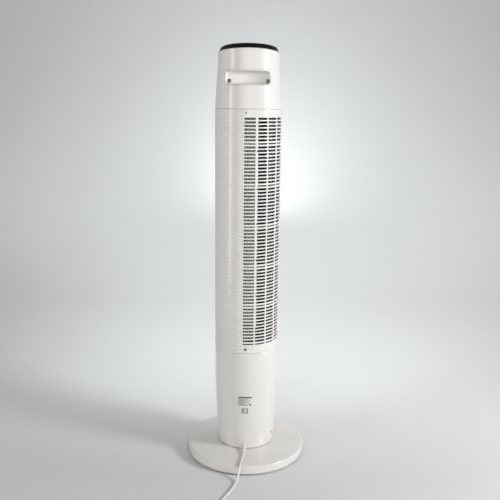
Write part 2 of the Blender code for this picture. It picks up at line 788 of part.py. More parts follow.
def build_air_path(parent):
    """Chamber floor and the two guide walls round the impeller."""
    axis = (IMPELLER_X, IMPELLER_Y, 0)
    disc = turned(ring_outline(0, 74.9, 285.0, 287.0), 32)
    floor = make_object("air_chamber_floor", disc, "white_plastic", parent=parent)
    bore = turned(ring_outline(0, 20.0, 280, 290), 24)
    boolean(floor, make_cutter("chamber_floor_bore", bore, axis, parent))
    bottom, top = 287.3, 856.3

    wall = 1.8
    inside = []
    steps = 12
    for i in range(steps + 1):
        share = i / steps
        turn = math.radians(100 - 165 * share)
        reach = IMPELLER_RADIUS + 3.5 + 8.0 * share
        inside.append((IMPELLER_X + reach * math.cos(turn), IMPELLER_Y + reach * math.sin(turn)))
    lead_in = (5.0, 72.0)
    lead_out = (49.0, -54.0)
    path = [lead_in] + inside + [lead_out]
    make_object("air_scroll", prism(thick_line(path, wall), bottom, top), "pale_plastic", parent=parent)

    tongue = [(-52.0, 51.0), (-50.0, 34.0), (-58.0, 8.0), (-60.0, -22.0), (-42.0, -40.0), (-26.0, -34.0)]
    tongue += [(-28.0, -46.0), (-44.0, -58.5)]
    make_object("air_tongue", prism(thick_line(tongue, wall), bottom, top), "pale_plastic", parent=parent)


def thick_line(path, thickness):
    """Outline of a bent wall of even thickness, from its centre line in plan."""
    sides = ([], [])
    for i, point in enumerate(path):
        before = Vector(path[max(i - 1, 0)])
        after = Vector(path[min(i + 1, len(path) - 1)])
        here = Vector(point)
        one = (here - before).normalized() if i else (after - here).normalized()
        two = (after - here).normalized() if i < len(path) - 1 else one
        along = (one + two).normalized()
        normal = Vector((-along.y, along.x))
        reach = 0.5 * thickness / max(along.dot(one), 0.5)
        sides[0].append(tuple(here + normal * reach))
        sides[1].append(tuple(here - normal * reach))
    return sides[0] + sides[1][::-1]


def build_top_bearing(parent):
    axis = (IMPELLER_X, IMPELLER_Y, 0)
    bracket = make_object("top_bracket", turned(ring_outline(0, 74.8, 856.8, 859.8), 32), "steel", parent=parent)
    collar = turned(ring_outline(0, 18.0, 858.0, 870.0), 24)
    boolean(bracket, make_cutter("bracket_collar", collar, axis, parent), "UNION")
    bore = turned(ring_outline(0, 14.3, 840, 880), 24)
    boolean(bracket, make_cutter("bracket_bore", bore, axis, parent))
    wire_way = box((-50, 8, 840), (-36, 22, 870))
    boolean(bracket, make_cutter("bracket_wire_way", wire_way, parent=parent))
    cushion = turned(ring_outline(9.3, 14.0, 857.0, 869.0), 20)
    make_object("bearing_cushion", cushion, "dark_rubber", axis, parent)
    bush = turned(ring_outline(SHAFT_RADIUS + 0.4, 9.0, 857.0, 869.0), 20)
    make_object("bearing_bush", bush, "bronze", axis, parent)


def build_impeller(pivot):
    """Blade cage, end discs, hub and rotor, all turning on one axis."""
    step = 360 / BLADE_COUNT
    angles = []
    for blade in range(BLADE_COUNT):
        angles += [blade * step, blade * step + BLADE_SHARE * step]
    heights = [CAGE_BOTTOM]
    length = (CAGE_TOP - CAGE_BOTTOM - RING_HEIGHT) / CAGE_SECTIONS
    for section in range(CAGE_SECTIONS):
        start = CAGE_BOTTOM + section * length
        heights += [start + RING_HEIGHT, start + length]
    heights.append(CAGE_TOP)
    cage = curved_wall(
        angles,
        heights,
        lambda height: IMPELLER_RADIUS,
        lambda height: IMPELLER_RADIUS - BLADE_DEPTH,
        is_open=lambda i, j: i % 2 == 1 and j % 2 == 1,
        closed=True,
    )
    make_object("impeller", cage, "pale_plastic", parent=pivot)
    rim = IMPELLER_RADIUS
    lower = turned(ring_outline(12.0, rim, CAGE_BOTTOM - 2.3, CAGE_BOTTOM - GAP), INNER_SEGMENTS)
    make_object("impeller_lower_disc", lower, "pale_plastic", parent=pivot)
    disc_z = CAGE_TOP + GAP
    upper = [(0, disc_z), (rim, disc_z), (rim, disc_z + 2), (SHAFT_RADIUS, disc_z + 2)]
    upper += [(SHAFT_RADIUS, 868.0), (0, 868.0)]
    make_object("impeller_upper_disc", turned(upper, INNER_SEGMENTS), "pale_plastic", parent=pivot)
    hub = [(SHAFT_RADIUS + GAP, 290.0), (18, 290.0), (18, 292.4), (11.7, 292.4), (11.7, 306.0)]
    hub += [(SHAFT_RADIUS + GAP, 306.0)]
    make_object("impeller_hub", turned(hub, SMALL_SEGMENTS), "dark_rubber", parent=pivot)
    shaft = SHAFT_RADIUS
    rotor = [(0, 186.0), (shaft, 186.0), (shaft, 217.0), (23.0, 217.0), (23.0, 242.0)]
    rotor += [(shaft, 242.0), (shaft, 304.0), (0, 304.0)]
    make_object("motor_rotor", turned(rotor, 20), "steel", parent=pivot)


# ---------------------------------------------------------------- mains cord


def smooth_curve(route, spacing):
    """Evenly spaced points on a Catmull-Rom curve through the route."""
    points = [Vector(p) for p in route]
    points = [2 * points[0] - points[1]] + points + [2 * points[-1] - points[-2]]
    fine = []
    for a, b, c, d in zip(points, points[1:], points[2:], points[3:]):
        for i in range(16):
            t = i / 16
            bend = 2 * a - 5 * b + 4 * c - d
            twist = 3 * b - a - 3 * c + d
            fine.append(0.5 * (2 * b + (c - a) * t + bend * t * t + twist * t * t * t))
    fine.append(points[-2])
    total = sum((q - p).length for p, q in zip(fine, fine[1:]))
    count = max(int(round(total / spacing)), 2)
    result = [fine[0]]
    walked = 0.0
    for p, q in zip(fine, fine[1:]):
        walked += (q - p).length
        if walked >= total * len(result) / count and len(result) < count:
            result.append(q)
    return result + [fine[-1]]


def make_cord(name, route, parent):
    """Round tube along a smooth curve through the route."""
    points = smooth_curve(route, 2.2 * 2 * CORD_RADIUS)
    curve = bpy.data.curves.new(name, "CURVE")
    curve.dimensions = "3D"
    curve.bevel_depth = CORD_RADIUS * MM
    curve.bevel_resolution = 2
    curve.use_fill_caps = True
    spline = curve.splines.new("POLY")
    spline.points.add(len(points) - 1)
    for slot, point in zip(spline.points, points):
        slot.co = (*(point * MM), 1.0)
    curve.materials.append(finish_material(name, "white_cord"))
    cord = bpy.data.objects.new(name, curve)
    bpy.context.collection.objects.link(cord)
    cord.parent = parent
    return cord


def build_cord(parent):
    make_cord("cord_lead", CORD_ROUTE, parent)
    mean = COIL_MEAN_RADIUS
    coil = turned(ring_outline(mean - COIL_HALF_WIDTH, mean + COIL_HALF_WIDTH, 0.2, COIL_HEIGHT), 32)
    make_object("cord_coil", coil, "white_cord", (*COIL_CENTRE, 0), parent)
    make_cord("cord_tail", TAIL_ROUTE, parent)
    build_plug(parent)


def build_plug(parent):
    """Flat two-pin mains plug lying on its side, pins along -X."""
    back = TAIL_ROUTE[-1][0] - 2 * GAP
    y = TAIL_ROUTE[-1][1]
    outline = [
        (back, y - 5.0),
        (back, y + 5.0),
        (back - 12.0, y + 8.5),
        (back - 20.0, y + 17.5),
        (back - PLUG_LENGTH, y + 17.5),
        (back - PLUG_LENGTH, y - 17.5),
        (back - 20.0, y - 17.5),
        (back - 12.0, y - 8.5),
    ]
    make_object("plug", prism(outline, 0.2, 13.8), "white_cord", parent=parent)
    for number, side in enumerate((-1, 1), 1):
        pin = turned([(0, 0), (2.0, 0), (2.0, 17.6), (1.2, 18.8), (0, 19.0)], 12)
        pin.transform(Matrix.Rotation(math.radians(-90), 4, "Y"))
        place = (back - PLUG_LENGTH - GAP, y + side * 9.3, 7.0)
        make_object(f"plug_pin_{number}", pin, "nickel", place, parent)


def build_cord_entry(parent):
    """Strain relief that passes through the column's notch."""
    sections = ((67.4, 4.6, 38.8, 5.2), (76.0, 4.6, 38.8, 5.2), (77.0, 4.2, 38.5, 4.6), (98.0, 3.2, 33.4, 3.1))
    bm = bmesh.new()
    rings = []
    for y, half_width, middle, half_height in sections:
        ring = []
        for x, z in rounded_rectangle(2 * half_width, 2 * half_height, 0.7 * min(half_width, half_height), 2):
            ring.append(bm.verts.new((x, y, middle + z)))
        rings.append(ring)
    for one, two in zip(rings, rings[1:]):
        for i in range(len(one)):
            j = (i + 1) % len(one)
            bm.faces.new((one[i], one[j], two[j], two[i]))
    bm.faces.new(rings[0])
    bm.faces.new(rings[-1])
    make_object("strain_relief", bm, "white_cord", parent=parent)


# ---------------------------------------------------------------- assembly


def build():
    clear_scene()
    base = make_empty("base_frame")
    column = make_empty("oscillation_pivot", (0, 0, COLUMN_BOTTOM))
    column_frame = make_empty("column_frame", (0, 0, -COLUMN_BOTTOM), parent=column)
    impeller = make_empty("impeller_pivot", (IMPELLER_X, IMPELLER_Y, 0), parent=column_frame)
    pinion = make_empty("pinion_pivot", (0, -gear_centre_distance(), GEAR_Z[0]), parent=column_frame)
    plane = make_empty("top_plane", (0, 0, RIM_HEIGHT), TOP_TILT, column_frame)

    build_base(base)
    build_cord(base)
    build_lower_housing(column_frame)
    build_column_floor(column_frame)
    build_cord_entry(column_frame)
    build_oscillation_drive(column_frame)
    build_motor_mount(column_frame)
    build_electrics(column_frame)
    build_air_path(column_frame)
    build_rear_cover(column_frame)
    build_front_grille(column_frame)
    build_top_bearing(column_frame)
    build_head(column_frame)
    build_top(plane)
    build_impeller(impeller)
    build_pinion(pinion)


build()
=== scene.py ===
"""Tower fan: the looks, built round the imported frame.

Shapes are written in millimetres and scaled to metres as each mesh is made.
The column's axis is Z, and its rear (intake), which the camera sees, faces +Y.
Angles round the column are measured from the rear centre towards -X, in degrees.
"""

import math

import bmesh
import bpy
from mathutils import Matrix, Vector


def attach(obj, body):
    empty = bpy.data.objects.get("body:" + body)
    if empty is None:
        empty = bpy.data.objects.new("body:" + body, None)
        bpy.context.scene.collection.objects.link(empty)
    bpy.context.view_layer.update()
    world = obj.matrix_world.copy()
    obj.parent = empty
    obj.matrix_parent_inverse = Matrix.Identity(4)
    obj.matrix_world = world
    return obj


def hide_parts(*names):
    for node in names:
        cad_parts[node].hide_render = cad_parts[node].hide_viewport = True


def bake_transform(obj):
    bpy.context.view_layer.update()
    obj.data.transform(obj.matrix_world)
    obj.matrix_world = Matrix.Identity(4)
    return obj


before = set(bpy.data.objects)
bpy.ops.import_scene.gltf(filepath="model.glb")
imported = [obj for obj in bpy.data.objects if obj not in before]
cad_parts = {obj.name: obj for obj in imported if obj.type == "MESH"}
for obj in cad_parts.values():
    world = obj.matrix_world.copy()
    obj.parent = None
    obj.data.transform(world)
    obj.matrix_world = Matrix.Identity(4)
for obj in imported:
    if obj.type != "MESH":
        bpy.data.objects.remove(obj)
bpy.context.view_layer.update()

MM = 0.001
REARWARD = Matrix.Rotation(math.radians(-90), 4, "X")

# Camera fitted to the photo: sensor in mm, focal length in the photo's pixels
SENSOR = 36.0
FOCAL_PIXELS = 682.2
PHOTO_PIXELS = 500.0
CAMERA_PLACE = (-0.06027, 1.62669, 0.8791)
CAMERA_TURN = (77.6398, -0.5498, -177.9914)

# Column and base, as in the CAD model
COLUMN_RADIUS = 78.0
COLUMN_BOTTOM = 30.8
TAPER_END = 210.0
TAPER_LENGTH = 180.0
TAPER_DROP = 7.8
LOWER_TOP = 282.0
HEAD_BOTTOM = 860.5
HEAD_TAPER_START = 850.0
HEAD_TAPER_END = 990.0
HEAD_DROP = 7.3
COVER_RADIUS = 78.4
COVER_INNER = 76.0
COVER_BOTTOM = 283.0
COVER_TOP = 860.0
SHELL_WALL = 2.2
RIM_HEIGHT = 985.0
RIM_BLEND_START = 950.0
TOP_TILT = 6.5
TOP_POSE = Matrix.Translation((0, 0, RIM_HEIGHT)) @ Matrix.Rotation(math.radians(TOP_TILT), 4, "X")
BASE_RADIUS = 147.3
FOOT_REACH = 135.0
NOTCH_HEIGHT = 38.8
SIDE_SCREW_ANGLE = 67.0
SIDE_SCREW_HEIGHT = 56.0

# Both covers: seam between them, lines beside it, depth of their rounded rims
SEAM_ANGLE = 100.0
SEAM_LINES = (0.11, 0.3, 0.7)
RIM_DROPS = {"rim": 0.55, "rim_edge": 0.14}

# Rear cover; rows count down from the top slot, and ribs run on past the slots
SLOT_PITCH = 7.94
SLOT_TOP_ROW = 839.2
SLOT_ROWS = 68
FIRST_RIB_ROW = -2
LAST_RIB_ROW = 69
SLOT_HEIGHT = 4.8
THIN_SLOT_HEIGHT = 3.1
THIN_ROW_STEP = 12
THIN_ROW_FIRST = 7
SLOT_START = -4.6
SLOT_COLUMN_PITCH = 21.5
SLOT_WIDTH = 19.0
SLOT_COLUMNS = 4
RIB_LEFT = -80.0
RIB_RIGHT = -6.0
BAND_RIGHT = 80.6
RIB_DEPTH = 0.85
EDGE = 0.45
BOSS_HEIGHT = 294.0
# Which end, angle, height, radius of the hole and of the head, finish
COVER_SCREWS = (
    ("lower", 0.0, BOSS_HEIGHT, 3.3, 2.9, "dark_screw"),
    ("upper", -2.0, 852.0, 2.2, 2.0, "bright_screw"),
)

# Front cover
FRONT_ROWS = 6
FRONT_ROW_PITCH = 92.0
FRONT_SLOT_HEIGHT = 86.0
FRONT_SLOT_COLUMNS = 13
FRONT_SLOT_PITCH = 7.0
FRONT_SLOT_WIDTH = 4.9

# Pocket; a ring has an inset, a share of the skin's depth against the back's, an offset
POCKET_WIDTH = 106.0
POCKET_HEIGHT = 34.0
POCKET_CORNER = 11.0
POCKET_MIDDLE = 929.0
POCKET_BACK = 38.0
POCKET_RISE = 10.5
POCKET_RINGS = (
    (0.35, 1, -2.6), (0.35, 1, -0.35), (0.6, 1, -0.05), (1.1, 1, 0), (1.7, 1, -0.25),
    (2.2, 1, -0.9), (2.6, 1, -2.2), (2.8, 0.6, 0), (2.9, 0.15, 1.0), (3.3, 0, 1.4),
    (4.2, 0, 0.4), (5.8, 0, 0), (8.5, 0, 0),
)
HANDLE_SCREWS = (("left", 42.0), ("right", -45.0))
HANDLE_SCREW_HEIGHT = 922.0

# Top panel and label
BUTTON_PLACES = ((-33.0, -24.0), (-11.0, -27.0), (11.0, -27.0), (33.0, -24.0))
DISPLAY_Y = 12.0
LENS_TOP = 9.5
INK_HEIGHT = 0.12
LABEL_LEFT = 17.0
# Rows of marks, left to right as seen from behind: middle and width of each
SYMBOL_ROWS = (
    ((7.0, 2.6), (1.6, 2.6), (-4.2, 6.0)),
    ((5.6, 2.6), (2.6, 2.4), (-7.2, 2.0)),
    ((4.4, 4.6), (-3.6, 1.4), (-7.6, 2.2)),
    ((5.0, 5.8), (-5.2, 5.4)),
    ((6.8, 2.6), (0.2, 2.4), (-7.2, 2.2)),
    ((6.0, 2.2), (2.0, 2.4), (-2.6, 2.0), (-7.0, 2.2)),
    ((4.2, 4.8), (-4.8, 5.4)),
)

# Impeller
IMPELLER_X = 21.0
IMPELLER_Y = -6.0
IMPELLER_RADIUS = 41.0
BLADES = 36
BLADE_DEPTH = 8.0
# Painted highlight on the blades' tips: its depth from the tip and its fade into the painted shade
LIT_TIP_DEPTH = 2.4
LIT_TIP_FADE = 1.2
CAGE_BOTTOM = 295.0
CAGE_TOP = 845.3
TOP_DISC = 829.9
SECTION = 57.2

# Cord
CORD_RADIUS = 3.0
COIL_CENTRE = (96.0, 341.0)
COIL_RADII = (40.0, 33.9, 27.8)
COIL_STEPS = 30
COIL_POINTS = 172
LOW_TURN = 3.2
HIGH_TURN = 9.3
TIE_HEIGHT = 6.35
CORD_LEAD = (
    (0.4, 98.9, 32.9), (2.4, 110.0, 31.2), (4.2, 122.0, 29.9), (5.5, 133.0, 28.95), (6.3, 140.0, 28.6),
    (7.1, 145.5, 27.8), (8.0, 150.6, 25.8), (8.8, 155.3, 22.8), (9.6, 159.3, 19.0), (10.7, 164.6, 12.8),
    (11.8, 168.9, 8.8), (13.0, 173.9, 5.75), (14.4, 179.5, 3.85), (15.9, 185.4, 3.2), (18.0, 194.0, 3.2),
    (21.4, 206.0, 3.2), (26.4, 219.0, 3.2), (33.6, 236.0, 3.2), (41.6, 254.0, 3.2), (48.6, 272.0, 3.2),
    (53.4, 290.0, 3.2), (55.6, 306.0, 3.2), (56.0, 317.0, 3.2), (56.0, 329.0, 3.2),
)
CORD_TAIL = (
    (90.0, 300.3, 9.4), (78.0, 300.0, 9.5), (66.0, 300.0, 9.7), (55.0, 300.0, 9.7), (46.0, 300.0, 8.5),
    (36.6, 300.0, 7.0),
)

# Studio, in metres: paper sweep, world strength at the horizon and high up, area lights
SWEEP = 2.2
SWEEP_START = -0.4
STUDIO_HALF = 9.0
WORLD_STRENGTHS = (0.44, 0.14)
GLOW = (0.97, 0.99, 1.0)
LIGHTS = (
    ("key", (-1.634, 0.627, 1.0), (0, 0, 0.62), 0.42, 0.5, 24.0, (1.0, 0.985, 0.965)),
    ("fill", (0.3, 2.6, 1.05), (0, 0, 0.9), 2.0, 1.6, 18.0, (1.0, 0.975, 0.955)),
    ("strip", (1.25, 0.72, 0.98), (0, 0, 0.95), 0.26, 0.95, 4.4, (1.0, 0.98, 0.96)),
    ("glow_low", (0.0, -0.34, 0.8), (0.0, -1.34, 0.2), 1.1, 0.5, 6.2, GLOW),
    ("glow_wide", (0.0, -1.0, 1.0), (0.0, -2.6, 1.0), 3.4, 0.6, 5.6, GLOW),
    ("glow_high", (0.0, -1.5, 0.95), (0.0, -2.6, 0.95), 0.3, 0.9, 2.0, GLOW),
)

# Finishes of surface() by name: colour, roughness and the rest
WHITE = (0.80, 0.79, 0.775)
WORN_WHITE = (0.86, 0.855, 0.845)
FINISHES = {
    "white_plastic": (WHITE, 0.17, dict(mottle=0.008, spread=0.015, wear=0.5, wear_colour=WORN_WHITE)),
    "grille_plastic": (WHITE, 0.19, dict(mottle=0.010, spread=0.015, wear=0.5, wear_colour=WORN_WHITE)),
    # Darkened to near black as painted shade for the inside of the column seen through the slots
    "pale_plastic": ((0.09, 0.09, 0.089), 0.42, dict(mottle=0.04)),
    "grey_plastic": ((0.30, 0.30, 0.31), 0.48, dict(mottle=0.07, grain=420, bump=0.2)),
    "black_gloss": ((0.006, 0.006, 0.0065), 0.16, dict(
        ior=1.36, mottle=0.15, spread=0.03, bump=0.015, wear=0.4, wear_colour=(0.05, 0.05, 0.052),
    )),
    "black_plastic": ((0.026, 0.026, 0.028), 0.44, dict(
        mottle=0.15, grain=520, bump=0.25, wear=0.5, wear_colour=(0.08, 0.08, 0.083),
    )),
    "smoked_lens": ((0.016, 0.017, 0.021), 0.07, dict(coat=0.6, mottle=0.1, spread=0.02, bump=0.005)),
    "foot_rubber": ((0.56, 0.555, 0.54), 0.78, dict(mottle=0.08, grain=380, bump=0.35)),
    "dark_rubber": ((0.035, 0.035, 0.036), 0.82, dict(mottle=0.2, grain=380, bump=0.4)),
    "steel": ((0.50, 0.50, 0.51), 0.34, dict(
        metallic=1.0, mottle=0.08, spread=0.1, grain=900, bump=0.12, stretch=(0.08, 1.0, 1.0), wear=0.5,
    )),
    "dark_screw": ((0.085, 0.08, 0.078), 0.36, dict(
        metallic=1.0, mottle=0.2, spread=0.1, wear=0.9, wear_colour=(0.42, 0.41, 0.40),
    )),
    "bright_screw": ((0.46, 0.455, 0.45), 0.42, dict(
        metallic=0.6, mottle=0.2, spread=0.1, wear=0.9, wear_colour=(0.62, 0.61, 0.60),
    )),
    "cast_iron": ((0.09, 0.088, 0.086), 0.7, dict(metallic=0.9, mottle=0.3, grain=260, bump=0.7)),
    "acetal": ((0.76, 0.76, 0.73), 0.38, dict(mottle=0.03, mottle_scale=40)),
    "bronze": ((0.52, 0.33, 0.16), 0.4, dict(
        metallic=1.0, mottle=0.15, mottle_scale=80, grain=500, bump=0.3,
    )),
    "white_cord": ((0.80, 0.79, 0.77), 0.36, dict(mottle=0.02, mottle_scale=30, bump=0.12)),
    "nickel": ((0.68, 0.66, 0.62), 0.2, dict(
        metallic=1.0, mottle=0.05, mottle_scale=60, spread=0.08, wear=0.5, wear_colour=(0.75, 0.68, 0.5),
    )),
    "print_ink": ((0.075, 0.075, 0.08), 0.5, dict(mottle=0.3, mottle_scale=400, spread=0.1)),
    "segment_ink": ((0.05, 0.052, 0.056), 0.3, dict(mottle=0.1, mottle_scale=300)),
    "icon_ink": ((0.55, 0.56, 0.57), 0.45, dict(mottle=0.08, mottle_scale=200)),
}

# CAD nodes that are shown as they are, by material
NODE_MATERIALS = {
    "grey_plastic": ("neck_spigot", "column_floor"),
    "acetal": ("thrust_washer", "sector_gear", "osc_pinion"),
    "steel": (
        "retaining_ring", "osc_motor_plate", "osc_motor", "motor_mount_plate", "motor_bracket_lower",
        "motor_bracket_upper", "motor_rotor", "top_bracket",
    ),
    "cast_iron": ("ballast_plate",),
    "laminated_steel": ("stator_core",),
    "black_plastic": ("motor_capacitor",),
    "circuit_board": ("power_board", "control_board"),
    # Air path parts take the darkened plastic: painted shade inside the column
    "pale_plastic": ("air_chamber_floor", "air_scroll", "air_tongue"),
    "dark_rubber": ("bearing_cushion", "impeller_hub"),
    "bronze": ("bearing_bush",),
    "nickel": ("plug_pin_1", "plug_pin_2"),
}


# --- materials
def new_material(name):
    material = bpy.data.materials.new(name)
    material.use_nodes = True
    tree = material.node_tree
    return material, tree, tree.nodes["Principled BSDF"]


def fill(node, values):
    for socket, value in values.items():
        node.inputs[socket].default_value = value


def add_node(tree, kind, values, vector=None):
    """New shader node with its sockets filled and its vector linked."""
    node = tree.nodes.new("ShaderNode" + kind)
    fill(node, values)
    if vector is not None:
        tree.links.new(vector, node.inputs["Vector"])
    return node


def object_place(tree):
    return tree.nodes.new("ShaderNodeTexCoord").outputs["Object"]


def noise(tree, place, scale, detail=3.0):
    values = {"Scale": scale, "Detail": detail, "Roughness": 0.55}
    return add_node(tree, "TexNoise", values, place).outputs["Fac"]


def map_range(tree, source, low, high, start=0.3, end=0.7):
    values = {"From Min": start, "From Max": end, "To Min": low, "To Max": high}
    node = add_node(tree, "MapRange", values)
    tree.links.new(source, node.inputs["Value"])
    return node.outputs["Result"]


def vector_math(tree, operation, source, value=None):
    node = tree.nodes.new("ShaderNodeVectorMath")
    node.operation = operation
    tree.links.new(source, node.inputs[0])
    if value is not None:
        node.inputs[1].default_value = value
    return node.outputs["Value" if operation == "LENGTH" else "Vector"]


def two_colours(tree, factor, one, two):
    node = tree.nodes.new("ShaderNodeMix")
    node.data_type = "RGBA"
    for index, colour in ((6, one), (7, two)):
        if isinstance(colour, tuple):
            node.inputs[index].default_value = (*colour, 1.0)
        else:
            tree.links.new(colour, node.inputs[index])
    tree.links.new(factor, node.inputs[0])
    return node.outputs[2]


def scaled(colour, share):
    return tuple(min(channel * share, 1.0) for channel in colour)


def relief(tree, shader, source, strength, distance):
    bump = add_node(tree, "Bump", {"Strength": strength, "Distance": distance})
    tree.links.new(source, bump.inputs["Height"])
    tree.links.new(bump.outputs["Normal"], shader.inputs["Normal"])


def uneven_gloss(tree, shader, cloud, roughness, spread):
    gloss = map_range(tree, cloud, roughness - spread, roughness + spread)
    tree.links.new(gloss, shader.inputs["Roughness"])


def surface(
    name, colour, roughness, metallic=0.0, coat=0.0, mottle=0.03, mottle_scale=14.0, spread=0.05,
    grain=650.0, bump=0.06, wear=0.0, wear_colour=None, ior=1.5, stretch=None,
):
    """Finish with cloudy colour, uneven gloss, fine relief and rubbed edges."""
    material, tree, shader = new_material(name)
    place = object_place(tree)
    factor = map_range(tree, noise(tree, place, mottle_scale), 0.0, 1.0)
    tint = two_colours(tree, factor, scaled(colour, 1 - mottle), scaled(colour, 1 + mottle))
    if wear:
        geometry = tree.nodes.new("ShaderNodeNewGeometry")
        edge = map_range(tree, geometry.outputs["Pointiness"], 0.0, wear, 0.515, 0.56)
        tint = two_colours(tree, edge, tint, wear_colour or scaled(colour, 1.25))
    tree.links.new(tint, shader.inputs["Base Color"])
    grain_place = place
    if stretch:
        grain_place = add_node(tree, "Mapping", {"Scale": stretch}, place).outputs["Vector"]
    relief(tree, shader, noise(tree, grain_place, grain, 2.0), bump, 0.0002)
    uneven_gloss(tree, shader, noise(tree, place, 5.0 * mottle_scale, 4.0), roughness, spread)
    fill(shader, {"Metallic": metallic, "Coat Weight": coat, "Coat Roughness": 0.08, "IOR": ior})
    return material


def banded(name, light, dark, roughness, metallic, pitch):
    """Stack of thin sheets: fine dark lines at even heights."""
    material, tree, shader = new_material(name)
    values = {"Scale": 1 / (pitch * MM * 20), "Distortion": 0.4}
    wave = add_node(tree, "TexWave", values, object_place(tree))
    wave.bands_direction = "Z"
    factor = map_range(tree, wave.outputs["Fac"], 0.0, 1.0, 0.1, 0.5)
    tree.links.new(two_colours(tree, factor, dark, light), shader.inputs["Base Color"])
    relief(tree, shader, wave.outputs["Fac"], 0.5, 0.0003)
    fill(shader, {"Roughness": roughness, "Metallic": metallic})
    return material


def circuit(name):
    """Green lacquered board with paler copper tracks under the lacquer."""
    material, tree, shader = new_material(name)
    place = object_place(tree)
    turn = add_node(tree, "Mapping", {"Rotation": (math.radians(90), 0, 0)}, place)
    values = {"Scale": 160.0, "Mortar Size": 0.09, "Mortar": (0.06, 0.26, 0.1, 1)}
    values |= {"Color1": (0.012, 0.11, 0.04, 1), "Color2": (0.016, 0.14, 0.055, 1)}
    brick = add_node(tree, "TexBrick", values, turn.outputs["Vector"])
    tree.links.new(brick.outputs["Color"], shader.inputs["Base Color"])
    uneven_gloss(tree, shader, noise(tree, place, 120.0), 0.35, 0.07)
    return material


def painted_tip_light(name, tip, inner, roughness):
    """Impeller plastic with painted light: a painted highlight at the blades' tips and painted shade towards
    the axis.
    """
    material, tree, shader = new_material(name)
    place = object_place(tree)
    offset = vector_math(tree, "SUBTRACT", place, (IMPELLER_X * MM, IMPELLER_Y * MM, 0))
    reach = vector_math(tree, "LENGTH", vector_math(tree, "MULTIPLY", offset, (1, 1, 0)))
    start = (IMPELLER_RADIUS - LIT_TIP_DEPTH) * MM
    factor = map_range(tree, reach, 0.0, 1.0, start, start + LIT_TIP_FADE * MM)
    tree.links.new(two_colours(tree, factor, inner, tip), shader.inputs["Base Color"])
    uneven_gloss(tree, shader, noise(tree, place, 60.0), roughness, 0.04)
    return material


def build_materials():
    made = {name: surface(name, colour, rough, **rest) for name, (colour, rough, rest) in FINISHES.items()}
    # Blades: painted highlight at the tips, painted shade towards the axis
    made["blade_painted_light"] = painted_tip_light("blade_painted_light", (0.85, 0.85, 0.84), (0.03, 0.03, 0.03), 0.4)
    sheets = ((0.34, 0.34, 0.36), (0.08, 0.08, 0.085), 0.42, 1.0, 0.5)
    made["laminated_steel"] = banded("laminated_steel", *sheets)
    made["circuit_board"] = circuit("circuit_board")
    return made


MATERIALS = build_materials()


# --- mesh helpers
def smoothstep(value, start, end):
    t = min(max((value - start) / (end - start), 0.0), 1.0)
    return t * t * (3 - 2 * t)


def around(angle, radius):
    turn = math.radians(angle)
    return -radius * math.sin(turn), radius * math.cos(turn)


def span(start, end, steps):
    return [start + (end - start) * i / steps for i in range(steps + 1)]


def column_radius(height):
    """Outer radius of the smooth housings, as in the CAD model."""
    foot = max(TAPER_END - height, 0.0) / TAPER_LENGTH
    head = smoothstep(height, HEAD_TAPER_START, HEAD_TAPER_END)
    return COLUMN_RADIUS - TAPER_DROP * foot**1.4 - HEAD_DROP * head


def link_object(name, data):
    obj = bpy.data.objects.new(name, data)
    bpy.context.scene.collection.objects.link(obj)
    return obj


def mesh_of(name, bm):
    mesh = bpy.data.meshes.new(name)
    bm.to_mesh(mesh)
    bm.free()
    return mesh


def finish_mesh(name, bm, material, body, smooth=35.0, pose=None):
    """Mesh in millimetres, placed by pose, as a piece that rides on a body."""
    if pose is not None:
        bm.transform(pose)
    bmesh.ops.scale(bm, vec=(MM, MM, MM), verts=bm.verts)
    bmesh.ops.recalc_face_normals(bm, faces=bm.faces)
    mesh = mesh_of(name, bm)
    mesh.shade_smooth()
    mesh.set_sharp_from_angle(angle=math.radians(smooth))
    mesh.materials.append(MATERIALS[material])
    piece = link_object(name, mesh)
    if body:
        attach(piece, body)
    return piece


def piece_of(name, bm, material, body, stands_for=(), slot=None, smooth=35.0, pose=None):
    """Finished piece that takes the place of CAD nodes."""
    piece = finish_mesh(name, bm, material, body, smooth, pose)
    if stands_for:
        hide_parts(*stands_for)
    return piece


def bevel(piece, width, angle=35.0):
    modifier = piece.modifiers.new("edge", "BEVEL")
    modifier.width = width * MM
    modifier.segments = 2
    modifier.limit_method = "ANGLE"
    modifier.angle_limit = math.radians(angle)


def placed(bm, pose):
    bm.transform(pose)
    return bm


def cut(bm, tool):
    """The bmesh with a tool shape taken away."""
    meshes = []
    for part in (bm, tool):
        bmesh.ops.recalc_face_normals(part, faces=part.faces)
        meshes.append(mesh_of("cut", part))
    holder, cutter = [link_object("cut", mesh) for mesh in meshes]
    modifier = holder.modifiers.new("cut", "BOOLEAN")
    modifier.object = cutter
    modifier.solver = "EXACT"
    bpy.context.view_layer.update()
    result = bmesh.new()
    result.from_object(holder, bpy.context.evaluated_depsgraph_get())
    for obj in (holder, cutter):
        bpy.data.objects.remove(obj)
    for mesh in meshes:
        bpy.data.meshes.remove(mesh)
    return result


def add_turned(bm, outline, segments):
    """Revolve a closed outline of (radius, height) points about Z, into bm."""
    rings = []
    for radius, height in outline:
        points = circle(radius, segments) if radius > 0 else [(0, 0)]
        rings.append([bm.verts.new((x, y, height)) for x, y in points])
    for low, high in zip(rings, rings[1:] + rings[:1]):
        for i in range(segments):
            j = i + 1
            corners = (low[i % len(low)], low[j % len(low)], high[j % len(high)], high[i % len(high)])
            distinct = list(dict.fromkeys(corners))
            if len(distinct) > 2:
                bm.faces.new(distinct)
    return bm


def turned(outline, segments):
    return add_turned(bmesh.new(), outline, segments)


def arc(centre, radius, start, end, steps):
    turns = [math.radians(angle) for angle in span(start, end, steps)]
    return [(centre[0] + radius * math.cos(a), centre[1] + radius * math.sin(a)) for a in turns]


def circle(radius, sides):
    return arc((0, 0), radius, 0, 360.0 - 360.0 / sides, sides - 1)


def rectangle(x, y):
    return [(-x, -y), (x, -y), (x, y), (-x, y)]


